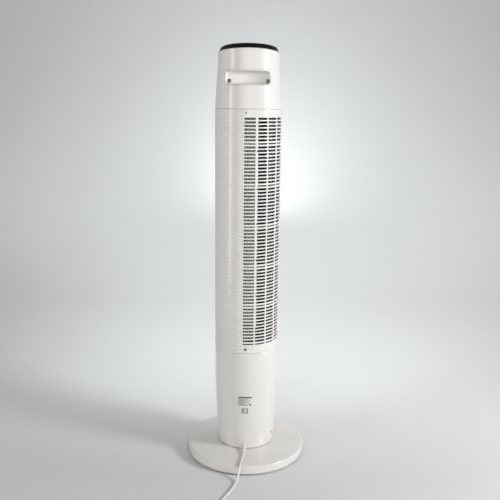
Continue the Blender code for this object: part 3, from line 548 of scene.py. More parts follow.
def rounded_rectangle(width, depth, corner, steps=6):
    x = width / 2 - corner
    y = depth / 2 - corner
    outline = []
    for centre, start in (((x, y), 0), ((-x, y), 90), ((-x, -y), 180), ((x, -y), 270)):
        outline += arc(centre, corner, start, start + 90, steps)
    return outline


def join(bm, one, two):
    """Quads between two closed rings of vertices."""
    for i in range(len(one)):
        j = (i + 1) % len(one)
        bm.faces.new((one[i], one[j], two[j], two[i]))


def loft(bm, rings, closed_ends=True):
    """Join rings of equal length, each a list of points, into a skin."""
    made = [[bm.verts.new(point) for point in ring] for ring in rings]
    for one, two in zip(made, made[1:]):
        join(bm, one, two)
    if closed_ends:
        bm.faces.new(made[0])
        bm.faces.new(made[-1])
    return made


def add_prism(bm, outline, bottom, top):
    loft(bm, [[(x, y, z) for x, y in outline] for z in (bottom, top)])
    return bm


def wall(angles, heights, outer, inner, is_open=None, lift=None):
    """Curved wall with one cell per step of angle and height.

    outer(i, j) and inner(i, j) give radii, is_open(i, j) leaves a cell out, and
    lift(height, y) raises the points.
    """
    bm = bmesh.new()
    grid = {}

    def vertex(side, i, j):
        if (side, i, j) not in grid:
            x, y = around(angles[i], (outer, inner)[side](i, j))
            rise = lift(heights[j], y) if lift else 0.0
            grid[side, i, j] = bm.verts.new((x, y, heights[j] + rise))
        return grid[side, i, j]

    def solid(i, j):
        inside = 0 <= i < len(angles) - 1 and 0 <= j < len(heights) - 1
        return inside and not (is_open and is_open(i, j))

    for i in range(len(angles) - 1):
        for j in range(len(heights) - 1):
            if not solid(i, j):
                continue
            corners = ((i, j), (i + 1, j), (i + 1, j + 1), (i, j + 1))
            for side in (0, 1):
                bm.faces.new([vertex(side, *corner) for corner in corners])
            sides = ((i, j - 1), (i + 1, j), (i, j + 1), (i - 1, j))
            for k, neighbour in enumerate(sides):
                if not solid(*neighbour):
                    p, q = corners[k], corners[(k + 1) % 4]
                    bm.faces.new((vertex(0, *p), vertex(0, *q), vertex(1, *q), vertex(1, *p)))
    return bm


def radial_pose(angle, height, radius):
    """Matrix that points local Z outwards from the column."""
    x, y = around(angle, radius)
    outward = Vector((x, y, 0)).normalized()
    turn = outward.to_track_quat("Z", "Y").to_matrix().to_4x4()
    return Matrix.Translation((x, y, height)) @ turn


def rear_pose(x, y, height):
    """Matrix that points local Z straight to the rear."""
    return Matrix.Translation((x, y, height)) @ REARWARD


def smooth_line(route, spacing):
    """Evenly spaced points on a Catmull-Rom curve through the route."""
    points = [Vector(p) for p in route]
    points = [2 * points[0] - points[1]] + points + [2 * points[-1] - points[-2]]
    fine = []
    for a, b, c, d in zip(points, points[1:], points[2:], points[3:]):
        for i in range(16):
            t = i / 16
            bend = 2 * a - 5 * b + 4 * c - d
            twist = 3 * b - a - 3 * c + d
            fine.append(0.5 * (2 * b + (c - a) * t + bend * t * t + twist * t * t * t))
    fine.append(points[-2])
    lengths = [0.0]
    for p, q in zip(fine, fine[1:]):
        lengths.append(lengths[-1] + (q - p).length)
    count = max(int(round(lengths[-1] / spacing)), 2)
    result = []
    k = 0
    for target in span(0.0, lengths[-1], count):
        while k < len(fine) - 2 and lengths[k + 1] < target:
            k += 1
        step = lengths[k + 1] - lengths[k]
        t = (target - lengths[k]) / step if step > 0 else 0.0
        result.append(fine[k].lerp(fine[k + 1], min(max(t, 0.0), 1.0)))
    return result


def sweep(bm, path, section_at):
    """Loft sections along a path; section_at(k) gives the outline at path point k."""
    rings = []
    for k, point in enumerate(path):
        before = path[max(k - 1, 0)]
        after = path[min(k + 1, len(path) - 1)]
        along = (after - before).normalized()
        side = along.cross(Vector((0, 0, 1))).normalized()
        over = side.cross(along).normalized()
        rings.append([point + side * x + over * y for x, y in section_at(k)])
    loft(bm, rings)


# --- cord
def coil_route():
    """Three turns inwards on the floor, then three outwards on top, clockwise from the left."""
    points = []
    radii = COIL_RADII + COIL_RADII[::-1]
    for step in range(COIL_POINTS):
        turn, part = divmod(step, COIL_STEPS)
        along = 360.0 * part / COIL_STEPS
        following = radii[min(turn + 1, len(radii) - 1)]
        reach = radii[turn] + (following - radii[turn]) * smoothstep(along, 240.0, 360.0)
        height = LOW_TURN if turn < len(COIL_RADII) else HIGH_TURN
        if turn == len(COIL_RADII) - 1:
            height += (HIGH_TURN - LOW_TURN) * smoothstep(along, 225.0, 300.0)
        angle = math.radians(180.0 - along)
        x = COIL_CENTRE[0] + reach * math.cos(angle)
        y = COIL_CENTRE[1] + reach * math.sin(angle)
        points.append((x, y, height))
    return points


def build_cord():
    route = CORD_LEAD + tuple(coil_route()) + CORD_TAIL
    path = smooth_line(route, 3.0)
    bm = bmesh.new()
    outline = circle(CORD_RADIUS, 16)
    sweep(bm, path, lambda k: outline)
    cord = finish_mesh("mains_cord", bm, "white_cord", None, 60.0)
    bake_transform(cord)
    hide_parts("cord_lead", "cord_coil", "cord_tail")
    plug = build_plug()
    tie = build_tie()


def build_tie():
    """Flat tie round the coil's bundle, opposite the way in."""
    angle = math.radians(20.0)
    out = Vector((math.cos(angle), math.sin(angle), 0))
    along = Vector((-out.y, out.x, 0))
    foot = Vector((*COIL_CENTRE, 0)) + out * COIL_RADII[1]
    middle = foot + Vector((0, 0, TIE_HEIGHT))
    loop = [middle + out * x + Vector((0, 0, z)) for x, z in rounded_rectangle(19.4, 12.6, 4.5)]
    outer = []
    for point in loop:
        thick = 0.7 if point.z > 1.5 else 0.04
        outer.append(point + (point - middle).normalized() * thick)
    bm = bmesh.new()
    bands = [(outer, shift) for shift in (-2.0, -1.4, 1.4, 2.0)] + [(loop, 2.0), (loop, -2.0)]
    rows = [[bm.verts.new(p + along * shift) for p in line] for line, shift in bands]
    for one, two in zip(rows, rows[1:] + rows[:1]):
        join(bm, one, two)
    end = [foot + out * x + Vector((0, 0, z)) for x, z in ((3, 13.4), (9, 14.2), (14, 14.0))]
    strip = rectangle(2.0, 0.35)
    sweep(bm, smooth_line(end, 1.5), lambda k: strip)
    return piece_of("cord_tie", bm, "white_cord", "base")


def build_plug():
    """Flat two-pin plug, lying on its side beside the coil, with pins along -X."""
    back, y, middle = 36.0, 300.0, 7.0
    stations = (
        (0.0, 4.2, 4.0), (-3.0, 4.6, 4.4), (-8.0, 5.6, 5.2), (-13.0, 9.0, 6.2), (-18.0, 14.6, 6.7),
        (-22.0, 17.2, 6.8), (-27.0, 17.4, 6.8), (-32.6, 17.2, 6.7), (-34.0, 16.2, 5.8),
    )
    bm = bmesh.new()
    rings = []
    for x, half_width, half_height in stations:
        corner = 0.62 * min(half_width, half_height)
        outline = rounded_rectangle(2 * half_width, 2 * half_height, corner, 5)
        rings.append([(back + x, y + across, middle + up) for across, up in outline])
    loft(bm, rings)
    for x in (-20.5, -23.5, -26.5, -29.5):
        ridge = [(back + x + dx, y + dy) for dx, dy in rectangle(0.7, 9.5)]
        add_prism(bm, ridge, middle - 6.8, middle - 6.2)
        add_prism(bm, ridge, middle + 6.2, middle + 6.8)
    plug = piece_of("mains_plug", bm, "white_cord", "base", ["plug"], smooth=50.0)
    bevel(plug, 0.3, 50.0)
    return plug


def build_strain_relief():
    """Tapered boot with flex grooves, from the column's notch to the cord."""
    route = [(0, 67.4, NOTCH_HEIGHT), (0, 76.0, NOTCH_HEIGHT), (0.05, 87.0, 36.3), (0.4, 98.6, 33.2)]
    path = smooth_line(route, 0.8)

    def section(k):
        reach = k / (len(path) - 1)
        blend = smoothstep(reach, 0.15, 0.6)
        wave = 0.5 - 0.5 * math.cos(2 * math.pi * k / 4)
        groove = 0.42 * wave * (1 - 0.8 * reach) if reach > 0.3 else 0.0
        half_width = 4.6 - 1.25 * blend - groove
        half_height = 5.2 - 1.85 * blend - groove
        corner = min(half_width, half_height) * (0.55 + 0.43 * blend)
        return rounded_rectangle(2 * half_width, 2 * half_height, corner, 5)

    bm = bmesh.new()
    sweep(bm, path, section)
    collar = rear_pose(0, 70.9, NOTCH_HEIGHT)
    rings = []
    for lift, grow in ((0, 1.0), (1.1, 1.0), (1.6, 0.6)):
        outline = rounded_rectangle(9.2 + 2 * grow, 10.4 + 2 * grow, 4.0, 5)
        rings.append([collar @ Vector((x, y, lift)) for x, y in outline])
    loft(bm, rings)
    piece_of("cord_boot", bm, "white_cord", "column", ["strain_relief"], smooth=50.0)


# --- base and lower housing
def build_base():
    top = 24.4
    shoulder = 4.0
    outline = [(BASE_RADIUS - 1.6, 4.4), (BASE_RADIUS - 0.7, 4.5), (BASE_RADIUS - 0.1, 5.2)]
    outline += [(BASE_RADIUS, 6.4), (BASE_RADIUS, top - shoulder)]
    outline += arc((BASE_RADIUS - shoulder, top - shoulder), shoulder, 12, 86, 8)
    outline += [(136.0, 25.1), (124.0, 26.4), (110.0, 27.6), (92.0, 28.9), (78.0, 29.75), (73.0, 30.0)]
    outline += [(69.5, 29.9), (69.0, 29.4), (68.6, 28.9), (66.0, 28.9), (65.6, 29.4), (65.0, 30.0)]
    outline += [(40.4, 30.0), (40.0, 29.6), (40.0, 27.5), (72.0, 27.5)]
    outline += [(142.8, 21.9), (144.8, 20.4), (144.8, 4.4)]
    piece_of("base_disc", turned(outline, 192), "white_plastic", "base", ["base_cover"])

    under = [(28.0, 5.0), (60.0, 5.0), (60.6, 4.6), (62.4, 4.6), (63.0, 5.0), (100.0, 5.0), (100.6, 4.6)]
    under += [(102.4, 4.6), (103.0, 5.0), (142.6, 5.0), (143.6, 5.6), (143.6, 7.0), (28.0, 7.0)]
    bm = turned(under, 128)
    for i in range(12):
        angle = math.radians(30 * i + 15)
        along = Vector((math.cos(angle), math.sin(angle)))
        side = Vector((-along.y, along.x))
        near, far = along * 63.5, along * 99.5
        add_prism(bm, [tuple(c) for c in (near - side, near + side, far + side, far - side)], 4.6, 5.4)
    bevel(piece_of("base_underside", bm, "grey_plastic", "base", ["base_plate"]), 0.2)

    foot = [(0, 0.7), (3.6, 0.7), (4.0, 0.3), (4.3, 0.0), (7.6, 0.0), (8.5, 0.35), (9.0, 1.1)]
    foot += [(9.0, 3.6), (8.6, 4.6), (0, 4.6)]
    for k in range(4):
        name, node = f"rubber_foot_{k + 1}", f"foot_{k + 1}"
        place = Matrix.Translation((*around(45.0 + 90.0 * k, FOOT_REACH), 0))
        piece_of(name, turned(foot, 48), "foot_rubber", "base", [node], pose=place)


def edge_lines(start, end, step):
    """Angle lines of a half shell: a fine line beside each end for the rounded seam."""
    fine = 0.5
    count = max(int(round((end - start - 2 * fine) / step)), 1)
    return [start, start + 0.18] + span(start + fine, end - fine, count) + [end - 0.18, end]


def seam_drop(angles, i):
    """How far the outer skin drops at the seams of a shell."""
    return {0: 0.5, 1: 0.14}.get(min(i, len(angles) - 1 - i), 0.0)


def build_shells(place, heights, radius, step, openings, lift=None):
    """Rear and front half of a housing, with openings cut out of the rear half."""
    for half, start in (("rear", -90.0), ("front", 90.0)):
        angles = edge_lines(start + 0.11, start + 179.89, step)
        bm = wall(
            angles,
            heights,
            lambda i, j: radius(heights[j]) - seam_drop(angles, i),
            lambda i, j: column_radius(heights[j]) - SHELL_WALL,
            lift=lift,
        )
        if half == "rear":
            for tool in openings:
                bm = cut(bm, tool)
        name, node = f"{place}_housing_{half}", f"{place}_shell_{half}"
        piece_of(name, bm, "white_plastic", "column", [node], smooth=38.0)


def lower_radius(height):
    """Lower housing, with a rounded foot and a bead under the cover."""
    radius = column_radius(height)
    radius -= 1.25 * smoothstep(height, 277.5, LOWER_TOP) ** 2
    radius -= 0.9 * (1 - smoothstep(height, COLUMN_BOTTOM, 32.4)) ** 2
    return radius


def build_lower_housing():
    heights = [COLUMN_BOTTOM, 31.1, 31.6, 32.4] + span(36.0, 272.0, 48)
    heights += [275.0, 277.5, 278.8, 280.0, 281.0, 281.6, LOWER_TOP]
    reach = column_radius(SIDE_SCREW_HEIGHT) - 3.4
    hole = [(0, -6), (3.9, -6), (3.9, 2.6), (4.6, 3.8), (6.0, 5.6), (6.0, 9), (0, 9)]
    poses = [radial_pose(angle, SIDE_SCREW_HEIGHT, reach) for angle in (-SIDE_SCREW_ANGLE, SIDE_SCREW_ANGLE)]
    notch = add_prism(bmesh.new(), rounded_rectangle(12.4, 13.0, 4.8, 5), 60.0, 80.0)
    openings = [placed(turned(hole, 32), pose) for pose in poses]
    openings.append(placed(notch, rear_pose(0, 0, NOTCH_HEIGHT)))
    build_shells("lower", heights, lower_radius, 2.5, openings)
    for side, pose in zip(("left", "right"), poses):
        build_screw(f"housing_screw_{side}", pose, f"lower_screw_{side}", 3.7)


def build_screw(name, pose, node, radius, finish="dark_screw"):
    """Cross-recessed pan-head screw, its head's rim at the pose."""
    head = [(0, -12), (1.0, -12), (1.6, -10.5), (1.6, 0), (radius - 0.3, 0), (radius, 0.3), (radius, 1.2)]
    head += [(0.93 * radius, 1.8), (0.75 * radius, 2.3), (0.5 * radius, 2.6), (0, 2.7)]
    bm = turned(head, 40)
    arm = 0.62 * radius
    half = 0.16 * radius
    for flip in (0, 1):
        rings = []
        for height, share in ((1.0, 0.45), (3.4, 1.15)):
            long = arm * share
            ring = rectangle(long, half)
            rings.append([(y, x, height) if flip else (x, y, height) for x, y in ring])
        tool = bmesh.new()
        loft(tool, rings)
        bm = cut(bm, tool)
    piece_of(name, bm, finish, "column", [node], slot="dark_screw", smooth=30.0, pose=pose)


# --- covers
def within(angle, slots):
    return any(start <= angle <= end for start, end in slots)


def slot_lines(slots, edge, steps):
    """Angle lines across the slots, each with a rounded edge on both sides."""
    angles = []
    for start, end in slots:
        angles += [start - edge, start] + span(start, end, steps)[1:-1] + [end, end + edge]
    return angles


def build_cover(name, node, angles, rows, slots, depth_at, is_open, screws=()):
    """Cover between its two rims, with its screws; rows holds (height, kind, row), lowest first."""
    lines = [(COVER_BOTTOM, "rim", None), (COVER_BOTTOM + 0.4, "rim_edge", None)]
    lines += [(COVER_BOTTOM + 1.2, "plain", None)] + rows + [(COVER_TOP - 1.0, "plain", None)]
    lines += [(COVER_TOP - 0.3, "rim_edge", None), (COVER_TOP, "rim", None)]

    def outer(i, j):
        height, kind, row = lines[j]
        depth = max(seam_drop(angles, i), RIM_DROPS.get(kind, 0.0))
        return COVER_RADIUS - max(depth, depth_at(angles[i], height, kind, row))

    def left_out(i, j):
        return is_open(lines[j]) and within(0.5 * (angles[i] + angles[i + 1]), slots)

    bm = wall(angles, [line[0] for line in lines], outer, lambda i, j: COVER_INNER, left_out)
    for _, angle, height, radius, _, _ in screws:
        hole = [(0, -8), (radius, -8), (radius, 2.0), (radius + 0.5, 2.7), (radius + 0.5, 6), (0, 6)]
        bm = cut(bm, placed(turned(hole, 32), radial_pose(angle, height, COVER_RADIUS - 2.6)))
    piece_of(name, bm, "grille_plastic", "column", [node], slot="white_plastic", smooth=40.0)
    for end, angle, height, _, radius, finish in screws:
        pose = radial_pose(angle, height, COVER_RADIUS - 2.9)
        build_screw(f"grille_screw_{end}", pose, f"cover_screw_{end}", radius, finish)


def rear_rows():
    """Lines of the rear cover's rows: bottom edge, slot or rib, top edge."""
    lines = []
    for row in reversed(range(FIRST_RIB_ROW, LAST_RIB_ROW + 1)):
        thin = row % THIN_ROW_STEP == THIN_ROW_FIRST
        half = (THIN_SLOT_HEIGHT if thin else SLOT_HEIGHT) / 2
        middle = SLOT_TOP_ROW - SLOT_PITCH * row
        lines += [(middle - half - EDGE, "plain", row), (middle - half, "low", row)]
        lines += [(middle + half, "high", row), (middle + half + EDGE, "plain", row)]
    return lines


def is_slot_row(row):
    return row is not None and 0 <= row < SLOT_ROWS


def build_rear_cover():
    starts = [SLOT_START + SLOT_COLUMN_PITCH * c for c in range(SLOT_COLUMNS)]
    slots = [(start, start + SLOT_WIDTH) for start in starts]
    edge, line, last = (SEAM_ANGLE - inset for inset in SEAM_LINES)
    angles = [-edge, -line] + span(-last, RIB_LEFT - 0.5, 8) + [RIB_LEFT]
    angles += span(RIB_LEFT + 1.0, RIB_RIGHT - 0.4, 36) + [RIB_RIGHT]
    angles += slot_lines(slots, 0.33, 8) + span(BAND_RIGHT, last, 8) + [line, edge]

    def ribbed(angle, row):
        """Share of a rib's depth; only the rows under the slots run on to the right."""
        if row is None:
            return 0.0
        left = smoothstep(angle, RIB_LEFT, RIB_LEFT + 1.0)
        share = left * (1 - smoothstep(angle, RIB_RIGHT - 0.4, RIB_RIGHT))
        if row >= SLOT_ROWS:
            share = max(share, left * (1 - smoothstep(angle, BAND_RIGHT - 1.6, BAND_RIGHT)))
        return share

    def depth_at(angle, height, kind, row):
        depth = 0.0
        share = ribbed(angle, row)
        if share > 0:
            boss = math.hypot(around(angle, COVER_RADIUS)[0], height - BOSS_HEIGHT)
            share *= smoothstep(boss, 5.6, 6.6)
            depth = share * {"high": RIB_DEPTH, "low": 0.16, "plain": 0.0}[kind]
        if is_slot_row(row) and kind in ("low", "high") and within(angle, slots):
            depth = max(depth, EDGE)
        return depth

    def is_open(line):
        return is_slot_row(line[2]) and line[1] == "low"

    build_cover("rear_grille", "rear_cover", angles, rear_rows(), slots, depth_at, is_open, COVER_SCREWS)


def front_rows():
    """Lines of the outlet grille's rows of slots."""
    lines = []
    for row in range(FRONT_ROWS):
        middle = (COVER_BOTTOM + COVER_TOP) / 2 + FRONT_ROW_PITCH * (row - (FRONT_ROWS - 1) / 2)
        low, high = middle - FRONT_SLOT_HEIGHT / 2, middle + FRONT_SLOT_HEIGHT / 2
        lines += [(low - 0.8, "plain", row), (low, "low", row)]
        lines += [(height, "slot", row) for height in span(low + 3.0, high - 3.0, 5)]
        lines += [(high, "high", row), (high + 0.8, "plain", row)]
    return lines


def build_front_grille():
    first = 180.0 - FRONT_SLOT_PITCH * (FRONT_SLOT_COLUMNS - 1) / 2 - FRONT_SLOT_WIDTH / 2
    starts = [first + FRONT_SLOT_PITCH * c for c in range(FRONT_SLOT_COLUMNS)]
    slots = [(start, start + FRONT_SLOT_WIDTH) for start in starts]
    edge, line, last = (SEAM_ANGLE + inset for inset in SEAM_LINES)
    angles = [edge, line] + span(last, 131.0, 12) + slot_lines(slots, 0.4, 3)
    angles += span(229.0, 360.0 - last, 12) + [360.0 - line, 360.0 - edge]

    def depth_at(angle, height, kind, row):
        return 0.5 if kind in ("low", "slot", "high") and within(angle, slots) else 0.0

    def is_open(line):
        return line[1] in ("low", "slot")

    build_cover("outlet_grille", "front_grille", angles, front_rows(), slots, depth_at, is_open)


# --- head
def rim_lift(height, y):
    share = max(height - RIM_BLEND_START, 0.0) / (RIM_HEIGHT - RIM_BLEND_START)
    return y * math.tan(math.radians(TOP_TILT)) * share


def head_radius(height):
    radius = column_radius(height)
    radius -= 0.5 * (1 - smoothstep(height, HEAD_BOTTOM, 861.6)) ** 2
    radius -= 1.3 * max((height - 983.2) / 1.8, 0.0) ** 2
    return radius


def pocket_back(x):
    return POCKET_BACK + POCKET_RISE * (x / 50.0) ** 2


def pocket_ring(inset, share, offset):
    """Outline of the pocket at one depth, with points along its straight sides."""
    width = POCKET_WIDTH - 2 * inset
    height = POCKET_HEIGHT - 2 * inset
    corners = rounded_rectangle(width, height, max(POCKET_CORNER - inset, 0.4), 12)
    ring = []
    for (x0, z0), (x1, z1) in zip(corners, corners[1:] + corners[:1]):
        steps = 1
        if math.hypot(x1 - x0, z1 - z0) > 0.25 * height:
            steps = 20 if abs(x1 - x0) > abs(z1 - z0) else 5
        for k in range(steps):
            x = x0 + (x1 - x0) * k / steps
            z = POCKET_MIDDLE + z0 + (z1 - z0) * k / steps
            skin = math.sqrt(max(column_radius(z) ** 2 - x * x, 0.0))
            ring.append((x, share * skin + (1 - share) * pocket_back(x) + offset, z))
    return ring


def build_pocket():
    """Carrying scoop: a lip flush with the head, rounded into walls and a curved back."""
    bm = bmesh.new()
    made = loft(bm, [pocket_ring(*row) for row in POCKET_RINGS], closed_ends=False)
    columns = {}
    for vertex in made[-1]:
        columns.setdefault(round(vertex.co.x, 3), []).append(vertex)
    across = [sorted(columns[x], key=lambda vertex: vertex.co.z) for x in sorted(columns)]
    for one, two in zip(across, across[1:]):
        bm.faces.new(one + two[::-1])
    piece_of("carry_pocket", bm, "white_plastic", "column", ["handle_pocket"], smooth=45.0)
    for side, x in HANDLE_SCREWS:
        pose = rear_pose(x, pocket_back(x) + 1.0, HANDLE_SCREW_HEIGHT)
        build_screw(f"pocket_screw_{side}", pose, f"handle_screw_{side}", 4.4)


def build_head():
    heights = [HEAD_BOTTOM, 860.8, 861.6] + span(865.0, 980.0, 32)
    heights += [982.0, 983.2, 983.9, 984.5, 984.85, RIM_HEIGHT]
    outline = rounded_rectangle(POCKET_WIDTH, POCKET_HEIGHT, POCKET_CORNER, 12)
    opening = placed(add_prism(bmesh.new(), outline, 20.0, 95.0), rear_pose(0, 0, POCKET_MIDDLE))
    build_shells("head", heights, head_radius, 2.0, [opening], rim_lift)
    build_pocket()


# --- top panel
def offset_sides(points, width, closed=False):
    """Points half a width to the left and to the right of a flat path."""
    path = [Vector(point) for point in points]
    left, right = [], []
    for k, point in enumerate(path):
        before = path[k - 1] if (closed or k) else point
        after = path[(k + 1) % len(path)] if (closed or k < len(path) - 1) else point
        along = (after - before).normalized()
        normal = Vector((-along.y, along.x)) * (width / 2)
        left.append(point + normal)
        right.append(point - normal)
    return left, right


def stroke(bm, points, width, closed=False):
    """Flat line of ink through points in the plane."""
    sections = []
    for one, two in zip(*offset_sides(points, width, closed)):
        corners = ((*one, 0), (*one, INK_HEIGHT), (*two, INK_HEIGHT), (*two, 0))
        sections.append([bm.verts.new(corner) for corner in corners])
    for one, two in zip(sections, sections[1:]):
        join(bm, one, two)
    if closed:
        join(bm, sections[-1], sections[0])
    else:
        bm.faces.new(sections[0])
        bm.faces.new(sections[-1])


def build_digits():
    """Unlit segments of a two-figure display and a row of lamps, under the lens."""
    bm = bmesh.new()

    def leaning(x, y):
        return x + 0.12 * (y - DISPLAY_Y), y

    for centre in (-6.0, 6.0):
        for y in (7.0, 12.0, 17.0):
            stroke(bm, [leaning(centre - 2.2, y), leaning(centre + 2.2, y)], 0.9)
        for x in (centre - 2.7, centre + 2.7):
            for low in (7.6, 12.6):
                stroke(bm, [leaning(x, low), leaning(x, low + 3.8)], 0.9)
    for x in (-18.0, -15.0, 15.0, 18.0):
        stroke(bm, arc((x, DISPLAY_Y), 0.5, 0, 315, 7), 0.4, closed=True)
    pose = TOP_POSE @ Matrix.Translation((0, 0, LENS_TOP))
    piece_of("display_segments", bm, "segment_ink", "column", slot="smoked_lens", pose=pose)


def build_icon(number, body, place):
    """Plain symbols: power, speed bars, clock and sweep arrows."""
    bm = bmesh.new()
    if number == 1:
        stroke(bm, arc((0, 0), 2.2, 125, 415, 24), 0.5)
        stroke(bm, [(0, 0.5), (0, 2.9)], 0.5)
    elif number == 2:
        for k in range(3):
            stroke(bm, [(-1.8 + 1.8 * k, -2.0), (-1.8 + 1.8 * k, -0.6 + 1.3 * k)], 0.8)
    elif number == 3:
        stroke(bm, arc((0, 0), 2.4, 0, 345, 24), 0.45, closed=True)
        stroke(bm, [(0, 1.6), (0, 0), (1.2, 0)], 0.45)
    else:
        stroke(bm, arc((0, -1.6), 3.2, 40, 140, 12), 0.5)
        for side in (-1, 1):
            stroke(bm, [(side * 1.2, 1.9), (side * 2.5, 0.4), (side * 0.9, -0.2)], 0.45)
    piece_of(f"icon_{number}", bm, "icon_ink", body, slot="pale_plastic", pose=place)


def build_top():
    outline = [(68.0, -3.0), (68.0, 0.4), (69.5, 0.4), (69.8, 0.6), (69.8, 1.0), (69.4, 1.4), (68.2, 1.75)]
    outline += [(67.7, 2.2), (67.5, 3.6), (67.3, 5.8), (66.9, 7.6), (66.1, 9.3), (64.8, 10.6), (63.1, 11.3)]
    outline += [(61.3, 11.5), (60.2, 11.4), (59.8, 11.1), (59.7, 10.4), (59.7, 6.2)]
    outline += [(55.0, 6.2), (55.0, 3.7), (65.5, -3.0)]
    lid = turned(outline, 160)
    piece_of("lid_ring", lid, "black_gloss", "column", ["top_bezel"], smooth=30.0, pose=TOP_POSE)

    bm = turned([(0, 6.5), (59.4, 6.5), (59.4, 9.2), (59.1, 9.5), (58.7, 9.6), (0, 9.6)], 160)
    window = add_prism(bmesh.new(), rounded_rectangle(46.0, 20.0, 3.0), 0, 20)
    bm = cut(bm, placed(window, Matrix.Translation((0, DISPLAY_Y, 0))))
    for x, y in BUTTON_PLACES:
        hole = turned([(0, 0), (6.9, 0), (6.9, 9.2), (7.5, 9.9), (7.5, 20), (0, 20)], 48)
        bm = cut(bm, placed(hole, Matrix.Translation((x, y, 0))))
    piece_of("control_top", bm, "black_gloss", "column", ["control_panel"], smooth=30.0, pose=TOP_POSE)

    rings = []
    for height, inset in ((7.0, 0.0), (9.2, 0.0), (9.45, 0.12), (LENS_TOP, 0.4)):
        ring = rounded_rectangle(45.4 - 2 * inset, 19.4 - 2 * inset, 2.7 - inset)
        rings.append([(x, y + DISPLAY_Y, height) for x, y in ring])
    bm = bmesh.new()
    loft(bm, rings)
    piece_of("display_window", bm, "smoked_lens", "column", ["display_lens"], pose=TOP_POSE)
    build_digits()

    cap = [(0, 0), (8.2, 0), (8.2, 1.9), (6.5, 1.9), (6.5, 5.4), (6.35, 5.85), (5.9, 6.15)]
    cap += [(4.6, 6.1), (2.5, 5.75), (0, 5.6)]
    for number, (x, y) in enumerate(BUTTON_PLACES, 1):
        place = TOP_POSE @ Matrix.Translation((x, y, 4.3))
        body = f"button_{number}"
        piece_of(f"push_{number}", turned(cap, 64), "black_plastic", body, [body], pose=place)
        build_icon(number, body, place @ Matrix.Translation((0, 0, 5.78)))


# --- impeller
def build_impeller():
    bm = bmesh.new()
    blade = []
    for t in span(0, 1, 5):
        reach = IMPELLER_RADIUS - BLADE_DEPTH + BLADE_DEPTH * t
        lean = math.radians(13.0 * t * t - 4.0 * t)
        blade.append((reach * math.cos(lean), reach * math.sin(lean)))
    left, right = offset_sides(blade, 0.9)
    outline = left + right[::-1]
    tip = blade[-1]
    for k, (x, y) in enumerate(outline):
        if math.hypot(x, y) > IMPELLER_RADIUS - 0.6:
            outline[k] = (tip[0] + (x - tip[0]) * 1.2, tip[1] + (y - tip[1]) * 2.4)
    levels = [CAGE_TOP] + [TOP_DISC - SECTION * k for k in range(10)] + [CAGE_BOTTOM]
    for section, (top, bottom) in enumerate(zip(levels, levels[1:])):
        for k in range(BLADES):
            turn = 2 * math.pi * (k + 0.5 * (section % 2)) / BLADES
            c, s = math.cos(turn), math.sin(turn)
            points = [(x * c - y * s, x * s + y * c) for x, y in outline]
            add_prism(bm, points, bottom + 0.6, top - 0.6)
        if section:
            low, high = top - 0.75, top + 0.75
            add_turned(bm, [(24.0, low), (39.6, low), (39.6, high), (24.0, high)], 72)
    axis = Matrix.Translation((IMPELLER_X, IMPELLER_Y, 0))
    ride = {"body": "impeller", "slot": "pale_plastic", "pose": axis}
    # Blades coloured with painted light: bright tips, painted shade inwards
    piece_of("blade_cage", bm, "blade_painted_light", stands_for=["impeller"], smooth=30.0, **ride)

    top = [(0, 838.0), (14.0, 838.0), (38.5, CAGE_TOP), (40.6, CAGE_TOP), (41.0, CAGE_TOP + 0.4)]
    top += [(41.0, CAGE_TOP + 1.6), (40.6, CAGE_TOP + 2.0), (4.0, CAGE_TOP + 2.0)]
    top += [(4.0, 867.6), (3.6, 868.0), (0, 868.0)]
    piece_of("cage_top_hub", turned(top, 72), "black_plastic", stands_for=["impeller_upper_disc"], **ride)
    # Lower disc in the darkened plastic: painted shade inside the column
    low = [(12.0, 292.7), (40.6, 292.7), (41.0, 293.1), (41.0, 294.4), (40.6, 294.7), (12.0, 294.7)]
    piece_of("cage_bottom_disc", turned(low, 72), "pale_plastic", stands_for=["impeller_lower_disc"], **ride)


# --- rating label
def patch(bm, x, z, width, height):
    """Thin bar of ink that follows the column, centred at x and z."""
    steps = max(int(width / 2.5), 1)
    rings = []
    for across in span(x - width / 2, x + width / 2, steps):
        ring = []
        for rise, level in ((-0.05, -0.5), (-0.05, 0.5), (0.06, 0.5), (0.06, -0.5)):
            level_z = z + height * level
            angle = math.degrees(-across / COLUMN_RADIUS)
            ring.append((*around(angle, column_radius(level_z) + rise), level_z))
        rings.append(ring)
    loft(bm, rings)


def build_label():
    """Rating label without words: a heading bar, ruled lines and two plain symbols."""
    bm = bmesh.new()
    patch(bm, 0.0, 170.0, 34.0, 3.4)
    for k, width in enumerate((26, 18, 31, 22, 28, 14, 30, 24)):
        patch(bm, LABEL_LEFT - width / 2, 166.2 - 2.45 * k, width, 1.05)
    patch(bm, -14.0, 150.0, 3.0, 5.0)
    for row, marks in enumerate(SYMBOL_ROWS):
        for x, width in marks:
            patch(bm, x, 140.6 - 2.1 * row, width, 1.7)
    piece_of("rating_marks", bm, "print_ink", "column", slot="black_plastic", smooth=60.0)


# --- CAD nodes, camera and studio
def dress_cad_nodes():
    for material, names in NODE_MATERIALS.items():
        for name in names:
            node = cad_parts[name]
            node.data.materials.clear()
            node.data.materials.append(MATERIALS[material])


def build_camera():
    data = bpy.data.cameras.new("camera")
    data.sensor_width = SENSOR
    data.lens = SENSOR * FOCAL_PIXELS / PHOTO_PIXELS
    data.clip_end = 50.0
    camera = link_object("camera", data)
    camera.location = CAMERA_PLACE
    camera.rotation_euler = [math.radians(a) for a in CAMERA_TURN]
    bpy.context.scene.camera = camera


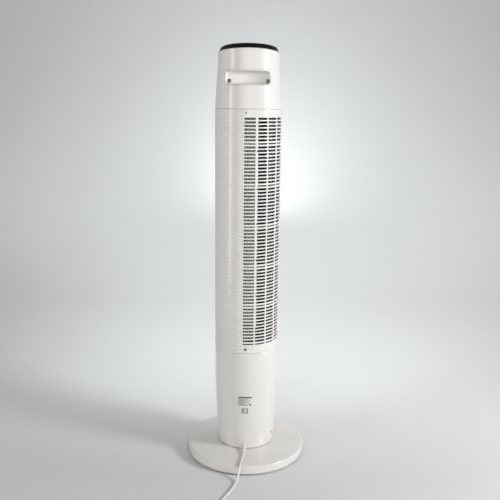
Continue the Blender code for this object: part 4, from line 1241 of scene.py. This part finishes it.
def area_light(name, place, target, width, height, power, colour):
    data = bpy.data.lights.new(name, "AREA")
    data.shape = "RECTANGLE"
    data.size = width
    data.size_y = height
    data.energy = power
    data.color = colour
    light = link_object(name, data)
    light.location = place
    direction = Vector(target) - Vector(place)
    light.rotation_euler = direction.to_track_quat("-Z", "Y").to_euler()
    light.visible_camera = not name.startswith("glow")


def build_floor():
    """Pale paper, flat under the fan and swept up behind it."""
    turns = [math.radians(angle) for angle in range(0, 91, 5)]
    profile = [(STUDIO_HALF, 0.0), (2.0, 0.0)]
    profile += [(SWEEP_START - SWEEP * math.sin(a), SWEEP - SWEEP * math.cos(a)) for a in turns]
    profile += [(SWEEP_START - SWEEP, 4.5)]
    columns = (-STUDIO_HALF, -4.0, 0.0, 4.0, STUDIO_HALF)
    bm = bmesh.new()
    rows = [[bm.verts.new((x, y, z)) for x in columns] for y, z in profile]
    for one, two in zip(rows, rows[1:]):
        for i in range(len(columns) - 1):
            bm.faces.new((one[i], one[i + 1], two[i + 1], two[i]))
    mesh = mesh_of("studio_floor", bm)
    mesh.shade_smooth()
    mesh.materials.append(surface("studio_paper", (0.77, 0.795, 0.80), 0.85, mottle=0.004, bump=0.02))
    floor = link_object("studio_floor", mesh)


def build_studio():
    """Paper, a world that dims from the horizon upwards, and soft lights."""
    build_floor()
    world = bpy.data.worlds.new("studio")
    world.use_nodes = True
    tree = world.node_tree
    background = tree.nodes["Background"]
    place = tree.nodes.new("ShaderNodeTexCoord")
    split = add_node(tree, "SeparateXYZ", {}, place.outputs["Generated"])
    strength = map_range(tree, split.outputs["Z"], *WORLD_STRENGTHS, 0.0, 0.75)
    tree.links.new(strength, background.inputs["Strength"])
    background.inputs["Color"].default_value = (1.0, 0.965, 0.94, 1.0)
    bpy.context.scene.world = world
    for facts in LIGHTS:
        area_light(*facts)
    bpy.context.scene.view_settings.view_transform = "Standard"


build_camera()
build_cord()
build_strain_relief()
build_base()
build_lower_housing()
build_rear_cover()
build_front_grille()
build_head()
build_top()
build_impeller()
build_label()
dress_cad_nodes()
build_studio()
